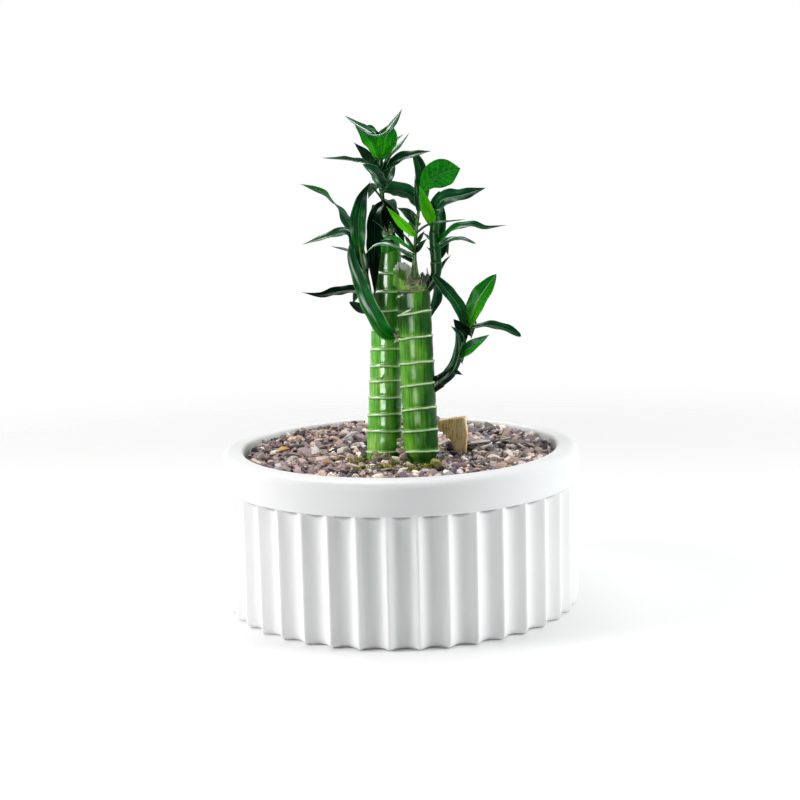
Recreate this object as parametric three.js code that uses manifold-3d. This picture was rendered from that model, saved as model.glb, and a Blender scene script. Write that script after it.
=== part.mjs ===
// Lucky bamboo in a fluted ceramic pot: two green canes and five leafy shoots, set in soil
// under a layer of gravel.
// Units are millimetres and +Z is up. The origin is the centre of the pot's underside. The
// plant is seen from -Y, with +X to the right.

import * as THREE from 'three';
import { mergeVertices } from 'three/addons/utils/BufferGeometryUtils.js';
import Module from 'manifold-3d';

const wasm = await Module();
wasm.setup();

// Clearance between neighbouring pieces that touch on the real object.
const GAP = 0.3;

// Edges shorter than this are closed up, because they are only traces of the cuts.
const FINEST_DETAIL = 0.02;

// Points closer than this are one point.
const SAME_POINT = 1e-4;

// How far a cut runs past the face that it opens.
const CUT_PAST = 0.1;

// Pot: a plain band over a fluted wall, with an open cavity and a recessed underside.
const POT_RADIUS = 90;
const POT_HEIGHT = 80;
const BAND_BOTTOM = 63.5;
const BAND_EDGE_ROUNDING = 1;
const LIP_ROUNDING = 4;
const LIP_INNER_RADIUS = 79;
const LIP_INNER_ROUNDING = 1.5;
const CAVITY_FLOOR_RADIUS = 77;
const CAVITY_CORNER = 4;
const FLOOR_THICKNESS = 8;
const FLUTE_COUNT = 40;
const FLUTE_DEPTH = 3.6;
const RIB_RADIUS = 89.6;
const POINTS_PER_FLUTE = 5;
const FOOT_ROWS = [{ z: 0, inset: 3.2 }, { z: 1, inset: 1 }, { z: 3.5, inset: 0 }];
const RECESS_RADIUS = 74;
const RECESS_DEPTH = 1.5;
const ROUND_SEGMENTS = 2 * FLUTE_COUNT;

// Soil, and the gravel that covers it.
const SOIL_TOP = 58;
const GRAVEL_LEVEL = 73.5;
const GRAVEL_RIM_RISE = 2.4;
const GRAVEL_BACK_RISE = 3.4;
const PEBBLE_RADIUS = 6.6;
const PEBBLE_JITTER = 0.3;
const PEBBLE_GROOVE = 2.2;
const PEBBLE_SHOULDER = 0.72;
const PEBBLE_CROWN = 1.1;
const PEBBLE_LIFT = 0.7;
const PEBBLE_TILT = 0.3;
const PEBBLE_SEED = 11;

// Canes: each has a straight axis between two points, and a raised ring at each leaf scar.
const CANE_FOOT = 26;
const CANE_SIDES = 14;
const RING_HEIGHT = 0.35;
const RING_HALF_WIDTH = 1;
const CANE_TOP_CHAMFER = 0.8;
const TALL_CANE = {
  low: new THREE.Vector3(-8, 1, 73),
  high: new THREE.Vector3(-3.5, 4.5, 178),
  lowRadius: 9,
  highRadius: 6.8,
  rings: [77, 87.5, 96, 104.5, 113, 120.5, 129, 138.5, 148, 157.5, 166.5],
};
const CUT_CANE = {
  low: new THREE.Vector3(10.5, -12.5, 73),
  high: new THREE.Vector3(8.5, -12.5, 160),
  lowRadius: 8.8,
  highRadius: 8.2,
  rings: [79.5, 90, 101, 113, 124, 136.5, 148.5],
};

// Dry papery sheath round the cut cane's top. Its ragged edge is given as heights at equal
// steps round the cane, counter-clockwise from +X.
const SHEATH_RADIUS = 7.3;
const SHEATH_THICKNESS = 0.8;
const SHEATH_HEIGHTS = [6, 4, 3, 5, 6, 5, 7, 6, 8, 7, 10, 11, 11, 9, 11, 8, 5, 3, 2, 3, 6, 9, 7, 8];

// Wood chip, drawn in the XZ plane: it stands in the gravel behind the cut cane.
const CHIP_OUTLINE = [[20.5, 87], [21.5, 91], [34, 93], [35, 84], [33.5, 71], [29, 71], [25.5, 79]];
const CHIP_FRONT = 8;
const CHIP_THICKNESS = 5;
const CHIP_TURN = -0.15;

// A corner moves out this much further than the two sides that meet in it.
const CORNER_REACH = 1.4;

// Leaf blades and stems.
const BLADE_THICKNESS = 0.7;
const BLADE_STEP = 7;
const FEWEST_BLADE_STEPS = 3;
const MOST_BLADE_STEPS = 8;
const BLADE_FOLD = 0.22;
const TIP_WIDTH = 0.6;
const STEM_SIDES = 6;
const STEM_STEP = 7;

// Leaf outlines: where the blade is widest, its share of that width at the base, and how
// sharply it narrows to the tip.
const LANCE = { widest: 0.42, base: 0.4, taper: 1.15 };
const OVATE = { widest: 0.48, base: 0.25, taper: 0.7 };
const STRAP = { widest: 0.3, base: 0.75, taper: 0.9 };
const SLIVER = { widest: 0.3, base: 0.6, taper: 1.2 };
const PADDLE = { widest: 0.68, base: 0.45, taper: 0.8 };

const GREEN = 0x1f6b2a;
const LEAF_GREEN = 0x1b5a33;

const paint = (color, roughness) => new THREE.MeshStandardMaterial({ color, roughness, metalness: 0 });

// Each leaf runs from its root on the stem to its tip. It has a full width, the way that its
// upper side faces, and an outline, with its twist in degrees from root to tip.
const leaf = (path, width, face, outline = LANCE, twist = 0) => ({ path, width, face, outline, twist });

const TOP_SHOOT = {
  stem: [[-3.3, 4.5, 178.4], [-3.5, 5, 189], [-4.5, 4, 198], [-5.5, 4, 204.5], [-6, 4, 211.5],
    [-6.5, 3, 224]],
  radii: [2.2, 1.8, 1.6, 1.5, 1.3, 0.9],
  leaves: [
    leaf([[-6.5, 3, 223], [-11.5, -2, 232], [-16.5, -5, 239], [-22.5, -6, 244.5]],
      8, [0.3, 0.9, 0.3], LANCE, 60),
    leaf([[-6.2, 3.3, 222.4], [-3, -1, 232], [0, -3, 238.5], [5, -3, 247]],
      7, [-0.35, 0.9, 0.25], LANCE, -50),
    leaf([[-6, 4, 221.5], [-1.5, 6, 230.5], [0, 9, 237]], 8.5, [-0.2, -0.85, 0.45], OVATE),
    leaf([[-6.7, 3.7, 220.6], [-9.5, 11, 235.5], [-14, 14, 239.5]], 7, [0.3, -0.6, 0.7], OVATE),
    leaf([[-6.5, 4, 218], [-14, 9, 226], [-19, 11, 231.5]], 6.5, [0.3, -0.8, 0.5]),
    leaf([[-6.5, 4, 217], [-9, 7, 222], [-12, 10, 227.5]], 4.5, [0.3, -0.8, 0.5]),
    leaf([[-6.5, 3, 218], [-15, -3, 222], [-23, -6, 223.5], [-34, -8, 224.5]], 6, [0, -0.4, 0.92]),
    leaf([[-6, 4, 210], [-10, -6, 216], [-15, -12, 220.5]], 6, [0.2, -0.8, 0.55]),
    leaf([[-6, 4, 215], [-0.5, 2, 225], [4.5, 0, 230], [8.5, -1, 235.5]], 5, [-0.6, -0.35, 0.7]),
    leaf([[-6, 3, 217], [2.5, 0, 223], [10.5, -2, 225], [19, -2, 226.5]], 6.5, [0, -0.5, 0.86]),
    leaf([[-6.5, 4, 222], [1, 14, 231.5], [6, 18, 235]], 4, [-0.2, -0.6, 0.7]),
    leaf([[-5.5, 4, 208], [-2, 12, 216], [1.5, 18, 222.5]], 7, [0.1, -0.7, 0.7]),
    leaf([[-4.5, 4, 202], [3, 10, 208], [8.5, 13, 205.5], [13, 15, 198]], 7, [0.2, -0.6, 0.75]),
    leaf([[-5, 4, 202], [-9, -2, 208], [-12, -5, 211]], 3, [0.3, -0.6, 0.7], SLIVER),
    leaf([[-5, 4, 201.5], [-9.5, -3, 197], [-10.5, -6, 186.5], [-9, -6, 173]], 8, [-0.3, -0.9, 0.2], LANCE),
    leaf([[-5, 4, 202.5], [-1, -8, 202], [1.5, -14, 197]], 6, [0.2, -0.5, 0.8]),
    leaf([[-3.5, 5, 187.5], [-6, -3, 193], [-9.5, -5, 197]], 2.2, [-0.4, -0.7, 0.5], SLIVER),
    leaf([[-5, 4.5, 200], [-8, 18, 198], [-10, 31, 189]], 7, [0, 0.4, 0.9]),
    leaf([[-4.5, 4.5, 197], [-1, 18, 196], [3, 30, 187]], 7, [0, 0.4, 0.9]),
    leaf([[-3.3, 4.5, 179.5], [-7, 1, 183], [-9, -1, 187]], 5, [-0.3, -0.6, 0.7]),
    leaf([[-3.3, 4.5, 179.5], [1, 2, 183], [3, 0, 187]], 5, [0.3, -0.6, 0.7]),
    leaf([[-6, 4, 209], [-9, 16, 210], [-13, 29, 203]], 6.5, [0, 0.4, 0.9]),
    leaf([[-6.5, 4, 220], [-8, 15, 223], [-11, 26, 217]], 6, [0, 0.4, 0.9]),
  ],
};

const MIDDLE_SHOOT = {
  stem: [[9.3, -15, 160.4], [9.4, -17, 167], [9.5, -20, 175], [10.5, -17, 187.5], [12, -12, 197.5],
    [13.5, -8, 207]],
  radii: [2.1, 2.6, 1.6, 1.5, 1.3, 0.9],
  leaves: [
    leaf([[10, -18, 186], [5, -23, 191], [0.5, -26, 196], [-3.5, -27, 201]], 5, [-0.2, -0.85, 0.5]),
    leaf([[11.3, -15, 190], [7, -10, 196.5], [1.5, -6, 199.5]], 6, [0.1, -0.7, 0.7]),
    leaf([[11.3, -14.5, 191], [9.5, -12, 195], [8, -9, 198]], 2.5, [0.1, -0.7, 0.7], SLIVER),
    leaf([[12, -12, 197], [11, -14, 205.5], [10.5, -14, 214.5]], 2.5, [0, -0.9, 0.3], SLIVER),
    leaf([[10.5, -17, 187], [16, -24, 191.5], [23.5, -28, 193], [34, -29, 194]], 3.5, [0, -0.2, 0.98]),
    leaf([[9.5, -19.5, 178], [3.5, -24, 183], [-1, -25, 185.5], [-6.5, -24, 184.5]], 5, [0, -0.5, 0.87]),
    leaf([[9.5, -20, 176], [2, -25, 180.5], [-5, -28, 183], [-9.5, -29, 182.5], [-13.5, -29, 179.5]],
      5, [0, -0.35, 0.93]),
    leaf([[9.5, -19.5, 175.5], [5.5, -14, 177.5], [2, -11, 179]], 4, [0, -0.6, 0.8]),
    leaf([[9.5, -19, 173], [5, -15, 175.5], [1.5, -12, 176.5]], 3.5, [0, -0.6, 0.8]),
    leaf([[9.5, -18.5, 178.5], [6.5, -14, 183.5], [4, -10, 187.5]], 3, [0.5, -0.7, 0.5], SLIVER),
    leaf([[9.7, -19.5, 178], [12.5, -23, 181.5], [15.5, -25, 185]], 4, [-0.6, -0.7, 0.4]),
    leaf([[10, -18.5, 182], [12.5, -20, 185], [14.5, -21, 188.5]], 3.5, [-0.6, -0.7, 0.4]),
    leaf([[12.7, -9.5, 204], [13, -1, 214], [10.5, 4, 223.5]], 6, [0, -0.8, 0.6]),
    leaf([[13, -8.5, 206.5], [18, -5, 212], [25, -3, 216], [33, -1, 217.5]],
      15.5, [-0.2, -0.93, 0.3], OVATE),
    leaf([[11, -15.5, 190], [10, -3, 191], [7, 9, 184]], 6, [0, 0.4, 0.9]),
  ],
};

const RIGHT_SHOOT = {
  stem: [[15, -13, 159], [19.5, -13, 166], [20, -12, 174.5], [19.5, -12, 181], [19.5, -12, 189.5],
    [21, -11, 199]],
  radii: [2.2, 2.7, 2.8, 2.6, 2.2, 1.2],
  leaves: [
    leaf([[19, -12, 190], [15.5, -19, 201], [12.5, -22, 210.5]], 6.5, [-0.2, -0.9, 0.35]),
    leaf([[20.2, -11.3, 196.5], [26, -14, 203.5], [34, -12, 204.5], [45, -8, 208]],
      8.5, [0, -0.75, 0.65], STRAP),
    leaf([[20, -11.5, 182.5], [24.5, -5, 192], [26, -1, 201]], 6.5, [0.5, -0.8, 0.3]),
    leaf([[20, -12, 181], [28.5, -18, 189], [37, -21, 191], [44, -23, 189.5], [53.5, -24, 190.5]],
      5.5, [0, -0.6, 0.8]),
    leaf([[20, -12, 179], [29, -2, 183], [34, 3, 182.5], [40.5, 7, 180]], 4.5, [0, -0.5, 0.86], OVATE),
    leaf([[20, -11.5, 173], [24.5, -4, 178], [27.5, 1, 181.5]], 5, [0, -0.8, 0.5]),
    leaf([[20.5, -12, 167], [24.5, -8, 172.5], [27.5, -6, 175.5]], 3, [-0.5, -0.7, 0.5], SLIVER),
    leaf([[19, -12.5, 176], [17.5, -15.5, 178.5], [15.5, -17.5, 180.5]], 2.5, [0.5, -0.7, 0.5], SLIVER),
    leaf([[19.5, -11.5, 182], [16.5, -6, 184.5], [14, -2, 187]], 3.5, [0.5, -0.7, 0.5], SLIVER),
    leaf([[18.5, -12, 163.5], [21, -5, 156], [18, -1, 145]], 6, [0.5, -0.75, 0.3]),
    leaf([[20, -12, 184], [24, 2, 182], [27, 14, 174]], 6, [0, 0.4, 0.9]),
    leaf([[20.3, -11.5, 195], [22, 1, 199], [23, 13, 194]], 6.5, [0, 0.4, 0.9]),
  ],
};

const LEFT_SHOOT = {
  stem: [[-2, 0, 134], [-1.5, -8, 137.5], [-5.5, -12, 142.5], [-10, -12, 153.5], [-12.5, -11.5, 164.5],
    [-14.5, -10, 175.5], [-16.5, -9, 189.5]],
  radii: [2, 2.2, 2, 1.8, 1.7, 1.5, 1],
  leaves: [
    leaf([[-16, -9.5, 182], [-23, -6, 194.5], [-30, -4, 203.5], [-35.5, -3, 208], [-45.5, -2, 212]],
      6, [0.45, -0.6, 0.65]),
    leaf([[-13.5, -11, 170], [-19, -13, 183], [-23.5, -15, 188.5], [-30, -17, 187.5], [-44.5, -20, 183.5]],
      5.5, [0, -0.55, 0.83]),
    leaf([[-1, -9, 136], [-8, -15, 140.5], [-14.5, -16.5, 152.5], [-19, -16, 165], [-21.5, -14, 175.5],
      [-21, -12, 183]], 7, [-0.45, -0.85, 0.2], STRAP),
    leaf([[-14.8, -10, 177], [-17, -15, 190], [-16.5, -15, 199.5], [-14.5, -11, 206.5], [-11, -7, 212.5]],
      8, [-0.1, -0.95, 0.3]),
    leaf([[-14.5, -10, 176.5], [-23.5, -4, 179], [-31.5, 0, 181]], 4.5, [0, -0.1, 0.99]),
    leaf([[-11.5, -12, 158], [-21.5, -6, 159.5], [-30, -3, 158.5], [-38, -2, 157], [-46.5, -2, 158.5]],
      6, [0.1, -0.75, 0.65]),
    leaf([[-10, -12, 153], [-16.5, -6, 151], [-22.5, -2, 151.5]], 4.5, [0, -0.75, 0.65]),
    leaf([[-14.5, -10, 175], [-19, 1, 177], [-23, 13, 169]], 6, [0, 0.4, 0.9]),
    leaf([[-12, -11.5, 160], [-18, -1, 159], [-22, 9, 151]], 6, [0, 0.4, 0.9]),
  ],
};

const LOWER_SHOOT = {
  stem: [[15, -12, 109.5], [21, -12, 114], [25, -12, 117], [29, -11, 123.5], [31.5, -11, 130.5],
    [33.5, -10, 136], [35.5, -10, 142]],
  radii: [3.4, 3.4, 3, 2.5, 2, 1.7, 1.2],
  leaves: [
    leaf([[35, -10, 139.5], [39.5, -14, 152.5], [44.5, -14, 160], [49.5, -11, 166]], 10, [-0.3, -0.9, 0.3]),
    leaf([[34.8, -10, 140], [30.5, -14, 151], [24.5, -17, 159.5], [17.5, -19, 167]],
      6, [0.2, -0.9, 0.35], PADDLE),
    leaf([[35, -10, 139.5], [45, -16, 141.5], [53, -19, 140], [60, -20, 136]],
      5.5, [0.1, -0.5, 0.85], PADDLE),
    leaf([[33.5, -10.5, 135], [33.5, -18, 139], [30.5, -24, 145]], 7, [-0.2, -0.6, 0.75]),
    leaf([[32, -11, 131], [30.5, -16, 137], [26.5, -19, 142]], 4, [0, -0.8, 0.6]),
    leaf([[30.5, -11, 127], [37, -16, 131.5], [45, -19, 137]], 4.5, [0.2, -0.7, 0.7]),
    leaf([[20.5, -12.5, 113], [27, -15, 122], [29.5, -15, 131], [29, -14, 139.5]],
      5.5, [-0.4, -0.85, 0.2], STRAP),
    leaf([[26.5, -12, 119], [32, -15, 117]], 3, [0, -0.8, 0.5], SLIVER),
    leaf([[34.5, -10, 139], [37, 4, 140], [38, 16, 131]], 7, [0, 0.4, 0.9]),
    leaf([[31, -11, 128], [32, 3, 127], [33, 15, 118]], 6, [0, 0.4, 0.9]),
  ],
};

// Small deterministic generator of numbers from 0 to 1.
function seededRandom(seed) {
  let state = seed;
  return () => {
    state = (state * 16807) % 2147483647;
    return state / 2147483647;
  };
}

function toSolid(geometry) {
  const bare = geometry.clone();
  bare.deleteAttribute('normal');
  bare.deleteAttribute('uv');
  const merged = mergeVertices(bare, SAME_POINT);
  const mesh = new wasm.Mesh({
    numProp: 3,
    vertProperties: new Float32Array(merged.attributes.position.array),
    triVerts: new Uint32Array(merged.index.array),
  });
  return new wasm.Manifold(mesh);
}

// The largest connected body, so that no loose scrap and no sealed hollow is left.
function mainBody(solid) {
  const bodies = solid.decompose();
  return bodies.reduce((best, body) => (body.volume() > best.volume() ? body : best));
}

function toMesh(name, solid, material) {
  const { vertProperties, triVerts } = mainBody(solid).simplify(FINEST_DETAIL).getMesh();
  const geometry = new THREE.BufferGeometry();
  geometry.setAttribute('position', new THREE.BufferAttribute(new Float32Array(vertProperties), 3));
  geometry.setIndex(new THREE.BufferAttribute(new Uint32Array(triVerts), 1));
  geometry.computeVertexNormals();
  const mesh = new THREE.Mesh(geometry, material);
  mesh.name = name;
  return mesh;
}

// Closed body through rings of equal length, each counter-clockwise about the way they run.
// A looped body joins its last ring to the first. Columns in flipped take the other diagonal.
// An end is closed across the ring in pairs, or by a fan from its middle if it is fanned.
function loft(rings, { looped = false, flipped = [], fanned = false } = {}) {
  const points = rings.flat();
  const width = rings[0].length;
  const index = [];
  const lastRing = looped ? rings.length : rings.length - 1;
  for (let i = 0; i < lastRing; i += 1) {
    const next = (i + 1) % rings.length;
    for (let j = 0; j < width; j += 1) {
      const side = (j + 1) % width;
      const [a, b, c, d] = [i * width + j, i * width + side, next * width + side, next * width + j];
      const triangles = flipped.includes(j) ? [a, b, d, b, c, d] : [a, b, c, a, c, d];
      index.push(...triangles);
    }
  }
  const closeEnd = (ringIndex, forward) => {
    const first = ringIndex * width;
    const triangles = [];
    if (fanned) {
      const middle = points.push(meanPoint(rings[ringIndex])) - 1;
      for (let j = 0; j < width; j += 1) {
        triangles.push([middle, first + j, first + ((j + 1) % width)]);
      }
    } else {
      for (let j = 0; j < width / 2 - 1; j += 1) {
        const [a, b, c, d] = [j, j + 1, width - 2 - j, width - 1 - j].map((k) => first + k);
        triangles.push([a, b, c], [a, c, d]);
      }
    }
    triangles.forEach(([a, b, c]) => index.push(...(forward ? [a, b, c] : [a, c, b])));
  };
  if (!looped) {
    closeEnd(0, false);
    closeEnd(rings.length - 1, true);
  }
  return toSolid(indexedGeometry(points, index));
}

function meanPoint(points) {
  return points.reduce((sum, point) => sum.add(point), new THREE.Vector3()).divideScalar(points.length);
}

function indexedGeometry(points, index) {
  const geometry = new THREE.BufferGeometry().setFromPoints(points);
  geometry.setIndex(index);
  return geometry;
}

// Solid of revolution about Z from [radius, height] pairs that start and end on the axis.
function turned(profile, segments = ROUND_SEGMENTS) {
  const points = profile.map(([radius, z]) => new THREE.Vector2(radius, z));
  return toSolid(new THREE.LatheGeometry(points, segments).rotateX(Math.PI / 2));
}

function arcPoints(centreRadius, centreZ, radius, from, to, steps) {
  return Array.from({ length: steps + 1 }, (_, i) => {
    const angle = THREE.MathUtils.degToRad(from + ((to - from) * i) / steps);
    return [centreRadius + radius * Math.cos(angle), centreZ + radius * Math.sin(angle)];
  });
}

// Fluted wall: ribs flush with the band, grooves between them, feet rounded inwards.
function flutedWall() {
  const columns = FLUTE_COUNT * POINTS_PER_FLUTE;
  const rows = [...FOOT_ROWS, { z: BAND_BOTTOM + BAND_EDGE_ROUNDING, inset: 0 }];
  const rings = rows.map(({ z, inset }) => Array.from({ length: columns }, (_, i) => {
    const turn = (i / columns) * 2 * Math.PI - Math.PI / 2;
    const groove = 0.5 + 0.5 * Math.cos(FLUTE_COUNT * (turn + Math.PI / 2));
    const radius = RIB_RADIUS - FLUTE_DEPTH * groove - inset;
    return new THREE.Vector3(radius * Math.cos(turn), radius * Math.sin(turn), z);
  }));
  return loft(rings, { fanned: true });
}

function potBand() {
  const lipCentre = POT_RADIUS - LIP_ROUNDING;
  return turned([
    [0, BAND_BOTTOM],
    [POT_RADIUS - BAND_EDGE_ROUNDING, BAND_BOTTOM],
    [POT_RADIUS, BAND_BOTTOM + BAND_EDGE_ROUNDING],
    ...arcPoints(lipCentre, POT_HEIGHT - LIP_ROUNDING, LIP_ROUNDING, 0, 90, 2),
    [0, POT_HEIGHT],
  ]);
}

// Radius of the cavity's wall, which widens a little towards the lip.
function cavityRadius(z) {
  const low = FLOOR_THICKNESS + CAVITY_CORNER;
  const share = (z - low) / (POT_HEIGHT - low);
  return THREE.MathUtils.lerp(CAVITY_FLOOR_RADIUS, LIP_INNER_RADIUS, Math.min(share, 1));
}

function potCavity() {
  const neck = POT_HEIGHT - LIP_INNER_ROUNDING;
  return turned([
    [0, FLOOR_THICKNESS],
    [CAVITY_FLOOR_RADIUS - CAVITY_CORNER, FLOOR_THICKNESS],
    [CAVITY_FLOOR_RADIUS, FLOOR_THICKNESS + CAVITY_CORNER],
    [cavityRadius(neck), neck],
    [LIP_INNER_RADIUS + LIP_INNER_ROUNDING, POT_HEIGHT + CUT_PAST],
    [0, POT_HEIGHT + CUT_PAST],
  ]);
}

function pot() {
  const recess = turned([
    [0, -CUT_PAST],
    [RECESS_RADIUS, -CUT_PAST],
    [RECESS_RADIUS, RECESS_DEPTH],
    [0, RECESS_DEPTH],
  ]);
  return flutedWall().add(potBand()).subtract(potCavity()).subtract(recess);
}

// A cane follows its axis from its foot in the soil to its top. With a margin it is the hole
// that it stands in.
function cane({ low, high, lowRadius, highRadius, rings }, margin = 0) {
  const rise = high.z - low.z;
  const radiusAt = (z) => THREE.MathUtils.lerp(lowRadius, highRadius, Math.max((z - low.z) / rise, 0));
  const rows = [[radiusAt(CANE_FOOT), CANE_FOOT - margin]];
  rings.forEach((z) => {
    rows.push([radiusAt(z), z - RING_HALF_WIDTH]);
    rows.push([radiusAt(z) + RING_HEIGHT, z]);
    rows.push([radiusAt(z), z + RING_HALF_WIDTH]);
  });
  rows.push([highRadius - CANE_TOP_CHAMFER, high.z + margin]);
  const sections = rows.map(([radius, z]) => {
    const centre = low.clone().lerp(high, (z - low.z) / rise);
    return circle(centre, radius + margin, CANE_SIDES);
  });
  return loft(sections);
}

function circle(centre, radius, sides) {
  return Array.from({ length: sides }, (_, i) => {
    const angle = (i / sides) * 2 * Math.PI;
    return new THREE.Vector3(radius * Math.cos(angle), radius * Math.sin(angle), 0).add(centre);
  });
}

// Thin ring with a ragged upper edge, standing on the cut cane's top.
function drySheath(margin = 0) {
  const centre = CUT_CANE.high;
  const base = centre.z + GAP - margin;
  const half = SHEATH_THICKNESS / 2 + margin;
  const sections = SHEATH_HEIGHTS.map((height, i) => {
    const angle = (i / SHEATH_HEIGHTS.length) * 2 * Math.PI;
    const at = (radius, z) => new THREE.Vector3(
      centre.x + radius * Math.cos(angle), centre.y + radius * Math.sin(angle), z);
    const top = base + height + 2 * margin;
    return [
      at(SHEATH_RADIUS - half, base), at(SHEATH_RADIUS - half, top),
      at(SHEATH_RADIUS + half, top), at(SHEATH_RADIUS + half, base),
    ];
  });
  return loft(sections, { looped: true });
}

// Flat chip of wood with a ragged outline, standing upright.
function woodChip(margin = 0) {
  const points = CHIP_OUTLINE.map(([x, z]) => new THREE.Vector2(x, z));
  const sum = points.reduce((total, point) => total.add(point), new THREE.Vector2());
  const centre = sum.divideScalar(points.length);
  const outline = points.map((point) => {
    const arm = point.clone().sub(centre);
    return arm.setLength(arm.length() + CORNER_REACH * margin);
  });
  const depth = CHIP_THICKNESS + 2 * margin;
  const block = new THREE.ExtrudeGeometry(new THREE.Shape(outline), { depth, bevelEnabled: false });
  block.translate(0, 0, -depth / 2).rotateX(Math.PI / 2).rotateZ(CHIP_TURN);
  block.translate(centre.x, CHIP_FRONT + CHIP_THICKNESS / 2, centre.y);
  return toSolid(block);
}

// Plug of soil in the pot's cavity, with a plain hole for each cane.
function soil() {
  const floor = FLOOR_THICKNESS + GAP;
  const plug = turned([
    [0, floor],
    [CAVITY_FLOOR_RADIUS - CAVITY_CORNER - GAP, floor],
    [CAVITY_FLOOR_RADIUS - GAP, FLOOR_THICKNESS + CAVITY_CORNER],
    [cavityRadius(SOIL_TOP) - GAP, SOIL_TOP],
    [0, SOIL_TOP],
  ]);
  return plug.subtract(cane(TALL_CANE, GAP)).subtract(cane(CUT_CANE, GAP));
}

// Height of the gravel, which rises to the rim and is heaped towards the back.
function gravelLevel(x, y) {
  const out = Math.hypot(x, y) / LIP_INNER_RADIUS;
  const back = Math.max(y, 0) / LIP_INNER_RADIUS;
  return GRAVEL_LEVEL + GRAVEL_RIM_RISE * out ** 2 + GRAVEL_BACK_RISE * back;
}

// A slab whose upper face is the given triangles, with a flat underside and upright sides.
function slab(points, triangles, bottom) {
  const count = points.length;
  const lower = points.map((point) => new THREE.Vector3(point.x, point.y, bottom));
  const index = [...triangles.flat()];
  const edges = new Set();
  triangles.forEach(([a, b, c]) => {
    index.push(c + count, b + count, a + count);
    [[a, b], [b, c], [c, a]].forEach(([from, to]) => edges.add(`${from} ${to}`));
  });
  edges.forEach((edge) => {
    const [from, to] = edge.split(' ').map(Number);
    if (!edges.has(`${to} ${from}`)) {
      index.push(from, to + count, to, from, from + count, to + count);
    }
  });
  return toSolid(indexedGeometry([...points, ...lower], index));
}

// Centres of the six-sided cells that the pebbles fill, over the whole cavity and its wall.
function pebbleCentres() {
  const rows = Math.ceil(LIP_INNER_RADIUS / (1.5 * PEBBLE_RADIUS)) + 1;
  const pitch = Math.sqrt(3) * PEBBLE_RADIUS;
  const columns = Math.ceil(LIP_INNER_RADIUS / pitch) + 1;
  const centres = [];
  for (let row = -rows; row <= rows; row += 1) {
    for (let column = -columns; column <= columns; column += 1) {
      const shift = row % 2 === 0 ? 0 : 0.5;
      const centre = new THREE.Vector2(pitch * (column + shift), 1.5 * PEBBLE_RADIUS * row);
      if (centre.length() < LIP_INNER_RADIUS + PEBBLE_RADIUS) {
        centres.push(centre);
      }
    }
  }
  return centres;
}

// Close-packed pebbles as one relief: each is a raised, tilted stone with its own outline,
// and the corners between three stones lie deep.
function pebbleRelief() {
  const random = seededRandom(PEBBLE_SEED);
  const points = [];
  const triangles = [];
  const corners = new Map();
  const jitter = () => PEBBLE_JITTER * PEBBLE_RADIUS * (2 * random() - 1);
  const cornerAt = (x, y) => {
    const key = `${Math.round(x * 10)} ${Math.round(y * 10)}`;
    if (!corners.has(key)) {
      const [cornerX, cornerY] = [x + jitter(), y + jitter()];
      corners.set(key, points.length);
      points.push(new THREE.Vector3(cornerX, cornerY, gravelLevel(cornerX, cornerY) - PEBBLE_GROOVE));
    }
    return corners.get(key);
  };
  pebbleCentres().forEach((centre) => {
    const level = gravelLevel(centre.x, centre.y) + PEBBLE_LIFT * (2 * random() - 1);
    const tilt = [PEBBLE_TILT * (2 * random() - 1), PEBBLE_TILT * (2 * random() - 1)];
    const outer = Array.from({ length: 6 }, (_, k) => {
      const angle = ((2 * k + 1) * Math.PI) / 6;
      const arm = new THREE.Vector2(Math.cos(angle), Math.sin(angle)).multiplyScalar(PEBBLE_RADIUS);
      return cornerAt(centre.x + arm.x, centre.y + arm.y);
    });
    const middle = meanPoint(outer.map((k) => points[k]));
    const top = points.length;
    points.push(new THREE.Vector3(middle.x, middle.y, level + PEBBLE_CROWN));
    outer.forEach((k) => {
      const arm = points[k].clone().sub(middle).multiplyScalar(PEBBLE_SHOULDER);
      const z = level + tilt[0] * arm.x + tilt[1] * arm.y;
      points.push(new THREE.Vector3(middle.x + arm.x, middle.y + arm.y, z));
    });
    for (let k = 0; k < 6; k += 1) {
      const next = (k + 1) % 6;
      const [here, there] = [top + 1 + k, top + 1 + next];
      triangles.push([top, here, there], [here, outer[k], outer[next]], [here, outer[next], there]);
    }
  });
  return slab(points, triangles, SOIL_TOP - PEBBLE_RADIUS);
}

// Layer of gravel between the soil and the lip, clear of whatever stands in it.
function gravel() {
  const bottom = SOIL_TOP + GAP;
  const ceiling = POT_HEIGHT + 2 * PEBBLE_RADIUS;
  const inside = turned([
    [0, bottom],
    [cavityRadius(bottom) - GAP, bottom],
    [LIP_INNER_RADIUS - GAP, POT_HEIGHT - LIP_INNER_ROUNDING],
    [LIP_INNER_RADIUS - GAP, ceiling],
    [0, ceiling],
  ]);
  const heap = pebbleRelief().intersect(inside);
  return heap.subtract(cane(TALL_CANE, GAP)).subtract(cane(CUT_CANE, GAP)).subtract(woodChip(GAP));
}

// Points as vectors.
const toVectors = (path) => path.map((point) => new THREE.Vector3(...point));

// Stem of a shoot, with its own radius at each equal share of its length.
function stalk({ stem, radii }) {
  const curve = new THREE.CatmullRomCurve3(toVectors(stem));
  const steps = Math.max(Math.round(curve.getLength() / STEM_STEP), stem.length - 1);
  const frames = curve.computeFrenetFrames(steps);
  const rings = [];
  for (let i = 0; i <= steps; i += 1) {
    const along = (i / steps) * (radii.length - 1);
    const low = Math.min(Math.floor(along), radii.length - 2);
    const radius = THREE.MathUtils.lerp(radii[low], radii[low + 1], along - low);
    const centre = curve.getPointAt(i / steps);
    rings.push(Array.from({ length: STEM_SIDES }, (_, j) => {
      const angle = (j / STEM_SIDES) * 2 * Math.PI;
      return centre.clone()
        .addScaledVector(frames.normals[i], radius * Math.cos(angle))
        .addScaledVector(frames.binormals[i], radius * Math.sin(angle));
    }));
  }
  return loft(rings);
}

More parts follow.
